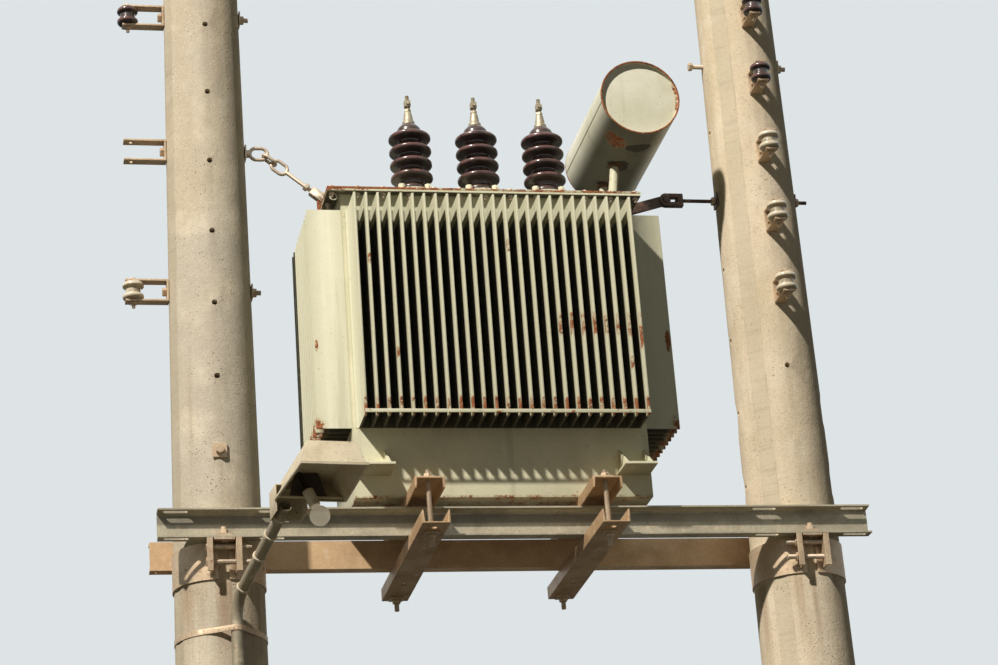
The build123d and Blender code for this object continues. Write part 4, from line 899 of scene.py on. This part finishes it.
left_spools = [Vector((left_x, left_y, level)) for level in (left_low.z, left_high.z - SPOOL_HEIGHT)]
right_spools = [right_spool(right_low.z + SPOOL_STEP * i) for i in range(SPOOL_COUNT)]
cream_spools = [(place, UP) for place in left_spools[:1] + right_spools[:3]]
brown_spools = [(place, UP) for place in left_spools[1:] + right_spools[3:]]
spool_profile = [(0.0, 0.03), (0.0015, 0.034), (0.011, 0.0415), (0.016, 0.042), (0.021, 0.04), (0.03, 0.029)]
spool_profile += [(SPOOL_HEIGHT - height, radius) for height, radius in reversed(spool_profile)]
cream_mesh = turned("cream_spools", spool_profile, cream_glaze, cream_spools)
brown_mesh = turned("brown_spools", spool_profile, brown_glaze, brown_spools)
plain_piece("cream_spools", cream_mesh, "cream_porcelain", "spools_left", "spools_right")
plain_piece("brown_spools", brown_mesh, "brown_porcelain")
print("spools:", len(cream_spools), "cream and", len(brown_spools), "brown")

# %% [markdown]
# ## Threads and weld beads
# A thread is a spiral, but from arm's length it reads as a row of fine grooves. So a line is cut into short
# steps, and every second point gets a smaller radius. That costs a tenth of a true spiral's faces. A weld is
# a row of small frozen pools, and the same steps give its ripple. Noise keeps it from looking machined.

# %% Threaded rods and beads along lines
THREAD_SIDES = 10
BEAD_SIDES = 6


def cut_line(grower, pitch):
    """The tree's lines in steps of half a pitch, and a value that is 1 at every second point."""
    runs = grower.node("GeometryNodeMeshToCurve", {"Mesh": grower.entry["Mesh"]})
    fine = grower.node("GeometryNodeResampleCurve", {"Curve": runs, "Length": pitch / 2}, mode="LENGTH")
    return fine, grower.node("GeometryNodeInputIndex") % 2


def threaded(name, finish, lines, diameter, pitch=0.003, depth=0.0011):
    """Threaded rod along lines."""
    grower = Grower(name, Diameter=diameter, Pitch=pitch, Depth=depth)
    fine, odd = cut_line(grower, grower.entry["Pitch"])
    radius = grower.entry["Diameter"] / 2 - odd * grower.entry["Depth"]
    return grower.run(tube(grower, fine, radius, THREAD_SIDES), line_mesh(*lines), finish)


def bead(name, finish, lines, width=0.007, ripple=0.006, ragged=0.5):
    """A rippled weld bead along lines."""
    grower = Grower(name, Width=width, Ripple=ripple, Ragged=ragged)
    fine, odd = cut_line(grower, grower.entry["Ripple"])
    cloud = grower.node("ShaderNodeTexNoise", {"Scale": 60.0, "Detail": 2.0})
    lumpy = 0.75 + cloud * grower.entry["Ragged"]
    radius = (1.0 - odd * 0.14) * lumpy * (grower.entry["Width"] / 2)
    return grower.run(tube(grower, fine, radius, BEAD_SIDES), line_mesh(*lines), finish)


print("threads and beads are ready")

# %% [markdown]
# ## Nuts and plates
# A nut is a bar with six sides and a small chamfer at both ends, and a plate washer is one with four sides.
# Both can be turned like an insulator, from a profile with sharp corners. Each is set on a seat: a place on
# the steel, and the way that it faces. A nut on a plate sits one plate's thickness further out.

# %% Nuts and plates on seats
NUT = 0.016
NUT_WIDTH = 0.03
PLATE = 0.006
PLATE_SIDE = 0.055


def nuts(name, finish, seats, width=NUT_WIDTH, height=NUT):
    """Six-sided nuts with a small chamfer at both ends."""
    corner = width / sqrt(3)
    chamfer = height / 8
    profile = [(0, 0.9 * corner), (chamfer, corner), (height - chamfer, corner), (height, 0.9 * corner)]
    return turned(name, profile, finish, seats, 6, chamfer, "VECTOR", pi / 6)


def plates(name, finish, seats, side=PLATE_SIDE, thick=PLATE, edge=0.001):
    """Square plates with broken edges."""
    corner = side / sqrt(2)
    profile = [(0, corner - edge), (edge, corner), (thick - edge, corner), (thick, corner - edge)]
    return turned(name, profile, finish, seats, 4, edge, "VECTOR", pi / 4)


def shifted(seats, distance):
    """The same seats, moved the way that they face."""
    return [(Vector(place) + way * distance, way) for place, way in seats]


print("nuts and plates are ready")

# %% [markdown]
# ## Clamp rods
# Four threaded rods pull each pair of bearers together round the beams. Every rod has a square plate and a
# nut at both ends, because the slots in the channels are wider than a nut.

# %% Rods, plates and nuts of the bearers
GAP = 0.0003
ROD = 0.02
upper_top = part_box("bearer_upper_left")[1].z + GAP
lower_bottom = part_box("bearer_lower_left")[0].z - GAP
rods_low, rods_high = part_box("clamp_rods")
rod_y = rods_high.y - PLATE_SIDE / 2
bearer_xs = [foot_of(node).x for node in ("bearer_upper_left", "bearer_upper_right")]
corners = [(x, y) for x in bearer_xs for y in (-rod_y, rod_y)]
seats = [((*corner, upper_top), UP) for corner in corners]
seats += [((*corner, lower_bottom), DOWN) for corner in corners]
rods = [[(*corner, rods_low.z), (*corner, rods_high.z)] for corner in corners]
clamp_meshes = [
    threaded("clamp_threads", bright_zinc, rods, ROD),
    plates("clamp_plates", zinc, seats),
    nuts("clamp_nuts", zinc, shifted(seats, PLATE)),
]
joined_piece("clamp_rod_set", "galvanised", clamp_meshes, "clamp_rods")

# %% [markdown]
# ## Collar bolts
# Two half bands hug each pole below the beams. Long bolts through their folded lugs pull the halves
# together, two in front and two behind. On both poles the threaded tails point inwards.

# %% Bolts of the two collars
COLLAR_DROPS = (0.029, 0.086)
COLLAR_TAIL = 0.034
LUG_FACE = 0.0503
collar_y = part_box("collar_bolts_left")[1].y - NUT_WIDTH / sqrt(3)


def collar_bolts(side, pole_x, way):
    """The four bolts of one collar, with a head at one end and a nut and a tail at the other."""
    heads, tails = [], []
    for y in (-collar_y, collar_y):
        for drop in COLLAR_DROPS:
            middle = Vector((pole_x, y, beam_low.z - drop))
            heads.append((middle - way * LUG_FACE, -way))
            tails.append((middle + way * LUG_FACE, way))
    runs = [[head, tail + way * (NUT + COLLAR_TAIL)] for (head, _), (tail, _) in zip(heads, tails)]
    name = "collar_bolt_set_" + side
    meshes = [threaded(name + "_threads", bright_zinc, runs, ROD), nuts(name + "_nuts", zinc, heads + tails)]
    joined_piece(name, "galvanised", meshes, "collar_bolts_" + side)


collar_bolts("left", 0.0, RIGHT)
collar_bolts("right", POLE_SPACING, LEFT)
soften("seat_bolts", zinc, 0.0008)

# %% [markdown]
# ## Bolts through the poles
# Brackets, eyes and steps hang on bolts that go right through a pole. Only the ends show, so the shank inside
# the concrete is left out here. Each bolt is told by its level, the way its head points, how far its head
# stands off the concrete, and whether a nut on a plate shows at its other end.

# %% Heads, nuts and tails at the poles
FEET = {"left": (0.0, 0.402), "right": (POLE_SPACING, 0.417)}
TAPER = 0.015
BRACKET_HALF = 0.046
BAR = 0.008
TAIL = 0.017
STEP = 0.046
INSIDE = 0.01
HEAD_SHARE = 0.8


def pole_reach(side, level):
    """Radius of a pole at a level, with the gap that a bolt's seat keeps."""
    return (FEET[side][1] - TAPER * level) / 2 + GAP


def pole_bolts(side, bolts):
    """The shown ends of the bolts through one pole."""
    nut_seats, plate_seats, runs = [], [], []
    for level, way, head_off, nutted in bolts:
        middle = Vector((FEET[side][0], 0, level))
        reach = pole_reach(side, level - BRACKET_HALF)
        head = middle + way * (reach + head_off)
        nut_seats.append((head, way))
        runs.append([middle + way * (reach - INSIDE), head + way * NUT * HEAD_SHARE])
        if head_off == PLATE:
            plate_seats.append((middle + way * reach, way))
        if nutted:
            seat = middle - way * (reach + PLATE)
            nut_seats.append((seat, -way))
            plate_seats.append((seat + way * PLATE, -way))
            runs.append([seat + way * INSIDE, seat - way * (NUT + TAIL)])
    name = "pole_bolt_set_" + side
    meshes = [
        threaded(name + "_threads", bright_zinc, runs, ROD),
        nuts(name + "_nuts", zinc, nut_seats),
        plates(name + "_plates", zinc, plate_seats),
    ]
    joined_piece(name, "galvanised", meshes, "pole_bolts_" + side)


left_bolts = [(5.729, LEFT, BAR, True), (6.327, LEFT, BAR, False), (6.925, LEFT, BAR, True)]
pole_bolts("left", left_bolts + [(5.022, FORWARD, PLATE, True)])
right_bolts = [(5.685 + SPOOL_STEP * i, FORWARD, BAR, True) for i in range(SPOOL_COUNT)]
pole_bolts("right", right_bolts + [(6.773, LEFT, STEP, True)])

# %% [markdown]
# ## Pins of the spools and the rod of the right tie
# A pin with a flat head above and a nut below holds each spool in its bracket. The right tie ends in a
# threaded rod that passes through the pole.

# %% Spool pins and the tie's rod
PIN_HEAD = 0.008
PIN_TAIL = 0.014
PIN_LENGTH = 0.09
pin_middles = [place + UP * (SPOOL_HEIGHT / 2) for place in left_spools + right_spools]
pin_tops = shifted([(place, UP) for place in pin_middles], BRACKET_HALF + GAP)
pin_feet = shifted([(place, DOWN) for place in pin_middles], BRACKET_HALF + GAP)
pin_runs = [[foot - UP * (PIN_HEAD + PIN_TAIL), foot + UP * PIN_LENGTH] for foot, _ in pin_feet]
pin_meshes = [
    threaded("pin_threads", bright_zinc, pin_runs, 0.014, 0.0025, 0.0008),
    nuts("pin_nuts", zinc, pin_tops + pin_feet, 0.026, PIN_HEAD),
]
joined_piece("spool_pin_set", "galvanised", pin_meshes, "spool_pins")

rod_low, rod_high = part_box("tie_right_rod")
tie_level = (rod_low.z + rod_high.z) / 2
tie_middle = Vector((POLE_SPACING, 0, tie_level))
tie_reach = pole_reach("right", tie_level - PLATE_SIDE / 2)
tie_seats = [(tie_middle + way * tie_reach, way) for way in (LEFT, RIGHT)]
tie_ends = [(x, 0, tie_level) for x in (rod_low.x, rod_high.x)]
tie_runs = [[end, place - way * 2 * INSIDE] for end, (place, way) in zip(tie_ends, tie_seats)]
tie_meshes = [
    threaded("tie_threads", dark_steel, tie_runs, 0.016, 0.003, 0.0009),
    plates("tie_plates", dark_steel, tie_seats),
    nuts("tie_nuts", zinc, shifted(tie_seats, PLATE)),
]
joined_piece("right_tie_rod", "dark_steel", tie_meshes, "tie_right_rod")

# %% [markdown]
# ## Clamp rings and caps of the bushings
# A ring with four nuts presses each bushing on its gasket. On top sits a cone of tinned metal with a stud
# and a clamp for the line, which leaves the top of the object free.

# %% Studs of the rings
RING_HEIGHT = 0.016
RING_BOLTS = 0.074
RING_STUD = 0.021
WASHER = 0.003
soften("hv_clamps", tank_paint, 0.001, 0.02)
ring_seats = []
for place in hv_places:
    for turn in range(45, 360, 90):
        out = Vector((cos(radians(turn)), sin(radians(turn)), 0)) * RING_BOLTS
        ring_seats.append((place + out + UP * RING_HEIGHT, UP))
ring_runs = [[seat, seat + UP * RING_STUD] for seat, _ in ring_seats]
ring_meshes = [
    threaded("ring_threads", bright_zinc, ring_runs, 0.012, 0.0024, 0.0007),
    nuts("ring_nuts", zinc, shifted(ring_seats, WASHER), 0.024, 0.012),
    turned("ring_washers", [(0, 0.0145), (WASHER, 0.0145)], bright_zinc, ring_seats, 20, WASHER, "VECTOR"),
]
joined_piece("bushing_studs", "galvanised", ring_meshes)

# %% [markdown]
# The cap is built up from below, as it is on the real bushing: the cone, the stud in it, a nut at the cone's
# neck, and the block that holds the line, with a clamping bolt at its front.

# %% Caps of the bushings
NECK = 0.058
STUD_FOOT = 0.05
BLOCK_RISE = 0.08
BLOCK_SIDE = 0.024
BLOCK_HEIGHT = 0.028
cap_profile = [(0, 0.024), (0.0015, 0.025), (0.012, 0.025), (0.014, 0.023), (0.018, 0.02), (0.03, 0.0185)]
cap_profile += [(STUD_FOOT, 0.0155), (0.056, 0.014), (NECK, 0.009)]
cap_seats = [(place + UP * hv_height, UP) for place in hv_places]
stud_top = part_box("hv_terminals")[1].z - hv_high.z
stud_runs = [[seat + UP * STUD_FOOT, seat + UP * stud_top] for seat, _ in cap_seats]
block_seats = shifted(cap_seats, BLOCK_RISE)
to_bolt = FORWARD * (BLOCK_SIDE / 2) + UP * (BLOCK_HEIGHT / 2)
bolt_seats = [(seat + to_bolt, FORWARD) for seat, _ in block_seats]
cap_meshes = [
    turned("cap_cones", cap_profile, terminal_metal, cap_seats),
    threaded("cap_studs", terminal_metal, stud_runs, 0.016, 0.0025, 0.0008),
    plates("cap_blocks", terminal_metal, block_seats, BLOCK_SIDE, BLOCK_HEIGHT, 0.002),
    nuts("cap_nuts", terminal_metal, shifted(cap_seats, NECK), 0.024, 0.012),
    nuts("cap_bolts", terminal_metal, bolt_seats, 0.013, 0.007),
]
joined_piece("bushing_caps", "terminal_metal", cap_meshes, "hv_terminals")

# %% [markdown]
# ## Bolts round the lid
# The lid is bolted to the tank's rim all the way round, with a gasket between. The bolts stand close to the
# edge, so that they press evenly. From below, their nuts and tails show under the rim.

# %% A row of bolts round the rim
LID_INSET = 0.02
LID_PITCH = 0.1
LID_TAIL = 0.02
LUG_XS = (0.466, 1.688)
LUG_HALF_WIDE = 0.06
LUG_HALF_LONG = 0.08
lid_low, lid_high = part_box("tank_lid")
rim_bottom = lid_low.z - 0.01


def at_lug(x, y):
    """Whether a lug on the lid covers a place."""
    return abs(y) <= LUG_HALF_LONG and any(abs(x - lug) <= LUG_HALF_WIDE for lug in LUG_XS)


def rim_places(level):
    """Evenly spaced places along the four sides of the lid, apart from those at its lugs."""
    x0, x1 = lid_low.x + LID_INSET, lid_high.x - LID_INSET
    y0, y1 = lid_low.y + LID_INSET, lid_high.y - LID_INSET
    across, along = round((x1 - x0) / LID_PITCH), round((y1 - y0) / LID_PITCH)
    places = [(x0 + (x1 - x0) * i / across, y, level) for i in range(across + 1) for y in (y0, y1)]
    places += [(x, y0 + (y1 - y0) * i / along, level) for i in range(1, along) for x in (x0, x1)]
    return [place for place in places if not at_lug(*place[:2])]


top_seats = [(place, UP) for place in rim_places(lid_high.z)]
low_seats = [(place, DOWN) for place in rim_places(rim_bottom)]
lid_runs = [[seat, Vector(seat) + DOWN * LID_TAIL] for seat, _ in low_seats]
lid_meshes = [
    nuts("lid_heads", bright_zinc, top_seats, 0.019, 0.008),
    nuts("lid_nuts", bright_zinc, low_seats, 0.019, 0.01),
    threaded("lid_threads", bright_zinc, lid_runs, 0.012, 0.0026, 0.0007),
]
joined_piece("lid_bolts", "galvanised", lid_meshes)
print("lid bolts:", len(top_seats))

# %% [markdown]
# ## Weld beads of the tank
# One bead closes the rim below the lid, and short ones hold the jacking lugs and their gussets to the wall.
# They are thin, but the line of shadow beside a bead is what tells the eye that two sheets meet there.

# %% Beads on the tank
JACK_WIDTH = 0.126
JACK_TOP = tank_low.z + 0.096
RIM_WIDE = 0.055
RIM_DEEP = 0.04
GUSSET_INSET = 0.016
GUSSET_HEIGHT = 0.09
x0, x1 = tank_low.x + RIM_WIDE, tank_high.x - RIM_WIDE
y0, y1 = tank_low.y + RIM_DEEP, tank_high.y - RIM_DEEP
weld_paths = [[(x, y, rim_bottom) for x, y in ((x0, y0), (x1, y0), (x1, y1), (x0, y1), (x0, y0))]]
jack_low, jack_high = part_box("jacking_lugs")
for left in (jack_low.x, jack_high.x - JACK_WIDTH):
    right = left + JACK_WIDTH
    for wall in (y0, y1):
        weld_paths.append([(left, wall, JACK_TOP), (right, wall, JACK_TOP)])
        for gusset in (left + GUSSET_INSET, right - GUSSET_INSET):
            weld_paths.append([(gusset, wall, JACK_TOP), (gusset, wall, JACK_TOP + GUSSET_HEIGHT)])
weld_mesh = bead("tank_welds", tank_paint, weld_paths)
plain_piece("tank_welds", weld_mesh, "tank_paint")
print("weld faces:", len(weld_mesh.polygons))

# %% [markdown]
# The drum is made the same way. A rolled edge closes each end, a bead holds the end disc, rings of weld sit
# at the foot of each leg, and one seam runs along the skin. The seam could be painted as a dark line, but a
# raised bead catches the sun as the real one does. A small eye hangs from the tank's rim.

# %% Beads and rolled rims of the drum
LEG_YS = (0.005, 0.195)
LEG_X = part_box("conservator_legs")[0].x + 0.036
SEAM_TURN = radians(188)
DISC_INSET = 0.0185
PIPE_WELD = 0.0185
PAD_WELD = 0.037
EYE_Y = -0.219
EYE_DROP = 0.016
EYE_RADIUS = 0.013


def ring_path(centre, radius, axis, count=48):
    """A closed circle round an axis, which is 1 for Y and 2 for Z."""
    path = []
    for i in range(count + 1):
        a, b = radius * cos(2 * pi * (i % count) / count), radius * sin(2 * pi * (i % count) / count)
        path.append(Vector(centre) + (Vector((a, 0, b)) if axis == 1 else Vector((a, b, 0))))
    return path


def drum_rings(inset, radius, count=48):
    """A circle round the drum's axis near each of its ends."""
    ends = (drum_low.y + inset, drum_high.y - inset)
    return [ring_path((drum_middle.x, y, drum_middle.z), radius, 1, count) for y in ends]


drum_paths = drum_rings(DISC_INSET, drum_radius - 0.0045)
for y in LEG_YS:
    drum_paths.append(ring_path((LEG_X, y, lid_high.z + 0.008), PIPE_WELD, 2, 24))
    drum_paths.append(ring_path((LEG_X, y, lid_high.z + 0.001), PAD_WELD, 2, 36))
seam = drum_middle + Vector((cos(SEAM_TURN), 0, sin(SEAM_TURN))) * (drum_radius - 0.0005)
drum_paths.append([(seam.x, drum_low.y + 0.004, seam.z), (seam.x, drum_high.y - 0.004, seam.z)])
rolled = drum_rings(0.003, drum_radius - 0.0028, 72)
eye_path = ring_path((LUG_XS[0], EYE_Y, rim_bottom - EYE_DROP), EYE_RADIUS, 1, 32)
plain_piece("rim_eye", bead("rim_eye", tank_paint, [eye_path], 0.008, 0.004, 0.0), "tank_paint")
drum_meshes = [
    bead("drum_beads", drum_paint, drum_paths, 0.006),
    bead("drum_rims", rim_paint, rolled, 0.009, 0.012, 0.2),
]
joined_piece("drum_welds", "tank_paint", drum_meshes)

# %% [markdown]
# ## Rusty saddles of the drum
# Where the legs meet the drum, water stands on the weld and both joints have rusted over. The crust is
# a small sphere pushed in and out by noise. Its dents are larger than a picture of rust could fake.

# %% Lumps of rust at the tops of the legs


def lump(name, finish, seats, dent):
    """A dented ellipsoid on every seat, which is a place and half its size in X, Y and Z."""
    grower = Grower(name, Dent=dent, Grain=55.0)
    ball = grower.node("GeometryNodeMeshIcoSphere", {"Radius": 1.0, "Subdivisions": 4})
    stretch = grower.node("GeometryNodeInputNamedAttribute", {"Name": "facing"}, data_type="FLOAT_VECTOR")
    stood = {"Points": grower.entry["Mesh"], "Instance": ball, "Scale": stretch}
    balls = grower.node("GeometryNodeInstanceOnPoints", stood)
    real = grower.node("GeometryNodeRealizeInstances", {0: balls})
    cloud = grower.node("ShaderNodeTexNoise", {"Scale": grower.entry["Grain"], "Detail": 3.0})
    push = (cloud - 0.5) * grower.entry["Dent"]
    normal = grower.node("GeometryNodeInputNormal")
    move = grower.node("ShaderNodeVectorMath", {0: normal, "Scale": push}, operation="SCALE")
    shape = grower.node("GeometryNodeSetPosition", {"Geometry": real, "Offset": move})
    return grower.run(shape, point_mesh(seats), finish)


LEG_LEAN = 0.0365
saddle_x = LEG_X + LEG_LEAN
saddle_z = drum_middle.z - sqrt(drum_radius**2 - (drum_middle.x - saddle_x) ** 2) - 0.002
saddle_sizes = ((0.034, 0.031, 0.014), (0.036, 0.032, 0.014))
saddles = [((saddle_x, y, saddle_z), size) for y, size in zip(LEG_YS, saddle_sizes)]
saddle_mesh = lump("drum_saddles", rust_crust, saddles, 0.014)
plain_piece("drum_saddles", saddle_mesh, "tank_paint")
print("saddle faces:", len(saddle_mesh.polygons))

# %% [markdown]
# ## Lamp details
# Pale cable ties are wound round the lamp's pipe, and a rod crosses the housing behind the bulb holder.
# Inside the housing sits a dark flat sheet. The housing is turned a little, so places in it
# are counted from the middle of its opening's rear edge, and a helper turns them with it.

# %% Ties on the pipe, dark sheet and rod
PIPE_RADIUS = 0.0215
TIE_RADIUS = 0.025
PIPE_BEND = Vector((0.038, -0.1894, 4.432))
PIPE_END = Vector((0.170, -0.665, 4.634))
TIE_SHARES = (0.14, 0.47, 0.69, 0.87)
HOOD_TURN = radians(5)
HOOD_PLACE = Vector((0.254, -0.699, 4.64))
pipe_way = (PIPE_END - PIPE_BEND).normalized()
tie_places = [(PIPE_BEND + (PIPE_END - PIPE_BEND) * share, pipe_way) for share in TIE_SHARES]
tie_profile = [(0, PIPE_RADIUS), (0.0016, TIE_RADIUS), (0.0088, TIE_RADIUS), (0.0104, PIPE_RADIUS)]
pipe_ties = turned("pipe_ties", tie_profile, rubber_tape, tie_places, 32, 0.0008)
plain_piece("pipe_ties", pipe_ties, "lamp_paint")


def in_hood(across, back, up):
    """A place in the housing, counted from the middle of its opening's rear edge."""
    turned_x = across * cos(HOOD_TURN) - back * sin(HOOD_TURN)
    return HOOD_PLACE + Vector((turned_x, across * sin(HOOD_TURN) + back * cos(HOOD_TURN), up))


def slab(name, corners, thick, finish):
    """A flat sheet with four corners, as a closed solid."""
    shape = bmesh.new()
    face = shape.faces.new([shape.verts.new(corner) for corner in corners])
    face.normal_update()
    way = face.normal.copy()
    grown = bmesh.ops.extrude_face_region(shape, geom=[face])["geom"]
    bmesh.ops.translate(shape, verts=[v for v in grown if isinstance(v, bmesh.types.BMVert)], vec=way * thick)
    bmesh.ops.recalc_face_normals(shape, faces=shape.faces)
    mesh = bpy.data.meshes.new(name)
    shape.to_mesh(mesh)
    shape.free()
    mesh.materials.append(finish)
    return mesh


tray_places = ((-0.077, -0.004, 0.012), (0.06, -0.004, 0.012), (0.022, -0.036, 0.09), (-0.06, -0.036, 0.09))
tray_corners = [in_hood(*place) for place in tray_places]
tray_mesh = slab("lamp_tray", tray_corners, 0.0015, tray_steel)
plain_piece("lamp_tray", tray_mesh, "lamp_paint")
rod_ends = [in_hood(across, -0.006, 0.011) for across in (-0.112, 0.112)]
rod_mesh = bead("hood_rod", lamp_paint, [rod_ends], 0.014, 0.004, 0.0)
plain_piece("hood_rod", rod_mesh, "lamp_paint")
print("lamp details:", len(pipe_ties.polygons), len(rod_mesh.polygons), "faces")

# %% [markdown]
# ## Camera
# The photograph was taken from about eye height, looking up. Its picture gives the camera's place, its turns
# and its lens. The camera looks along its own -Z, so its axes go into the matrix as right, up and back.

# %% Camera
CAMERA_PLACE = Vector((-1.0276, -9.6082, 1.5994))
YAW, PITCH, ROLL = radians(12.65), radians(21.97), radians(-4.33)
PICTURE_WIDTH = 998
FOCAL_PIXELS = 2706.72
forward = Vector((sin(YAW) * cos(PITCH), cos(YAW) * cos(PITCH), sin(PITCH)))
level_right = forward.cross(UP).normalized()
level_up = level_right.cross(forward)
right = level_right * cos(ROLL) + level_up * sin(ROLL)
up = level_up * cos(ROLL) - level_right * sin(ROLL)
camera = bpy.data.objects.new("camera", bpy.data.cameras.new("camera"))
camera.data.sensor_width = 36.0
camera.data.sensor_fit = "HORIZONTAL"
camera.data.lens = FOCAL_PIXELS / PICTURE_WIDTH * camera.data.sensor_width
camera.data.clip_end = 100.0
camera.matrix_world = Matrix.Translation(CAMERA_PLACE) @ Matrix((right, up, -forward)).transposed().to_4x4()
bpy.context.scene.collection.objects.link(camera)
bpy.context.scene.camera = camera
print("lens:", round(camera.data.lens, 3), "mm")

# %% [markdown]
# ## Light and floor
# The sun stands high on the left, behind the viewer, so its shadows fall to the right. A sun lamp would do,
# but a small, strong area lamp far away gives nearly parallel light with slightly soft edges. Two weak wide
# lamps and the sky's colour fill the shade, and a pale floor bounces light up to the undersides. The pale
# background shows only to the camera and in reflections, so it adds no light to the object.

# %% Light, world and floor
AIM = Vector((1.1, 0.0, 5.4))
LAMPS = (
    ("key", (-11.9, -14.0, 22.7), 0.9, 9700, (1.0, 0.955, 0.88)),
    ("fill", (9.0, -9.0, 6.0), 6.0, 25, (0.95, 0.98, 0.9)),
    ("back", (3.0, 9.0, 9.0), 5.0, 120, (0.92, 0.97, 1.0)),
)
for name, place, size, power, tint in LAMPS:
    lamp = bpy.data.objects.new(name, bpy.data.lights.new(name, "AREA"))
    lamp.data.size = size
    lamp.data.energy = power
    lamp.data.color = tint
    lamp.location = place
    lamp.rotation_euler = (AIM - Vector(place)).to_track_quat("-Z", "Y").to_euler()
    bpy.context.scene.collection.objects.link(lamp)

world = bpy.data.worlds.new("studio")
bpy.context.scene.world = world
world.use_nodes = True
sky = world.node_tree
sky.nodes.clear()
rays = ("Is Camera Ray", "Is Glossy Ray", "Is Transmission Ray")
seen = reduce(or_, [add_node(sky, "ShaderNodeLightPath", output=ray) for ray in rays])
light = add_node(sky, "ShaderNodeBackground", {"Color": (0.84, 0.93, 0.88, 1.0), "Strength": 0.046})
shown = add_node(sky, "ShaderNodeBackground", {"Color": (222, 228, 230), "Strength": 1.0})
both = add_node(sky, "ShaderNodeMixShader", {0: seen, 1: light, 2: shown})
add_node(sky, "ShaderNodeOutputWorld", {0: both})

FLOOR_HALF = 30
floor_mesh = bpy.data.meshes.new("floor")
floor_corners = [(x * FLOOR_HALF, y * FLOOR_HALF, 0) for x, y in ((-1, -1), (1, -1), (1, 1), (-1, 1))]
floor_mesh.from_pydata(floor_corners, [], [(0, 1, 2, 3)])
floor = bpy.data.objects.new("floor", floor_mesh)
bpy.context.scene.collection.objects.link(floor)
floor_finish = Finish("floor_paint", (92, 90, 80), 0.9)
floor_finish.lay(floor_finish.node("ShaderNodeLightPath", output="Is Camera Ray"), (200, 200, 196))
floor_mesh.materials.append(floor_finish.done())
bpy.context.scene.view_settings.view_transform = "Standard"
print("lamps:", len(bpy.data.lights))
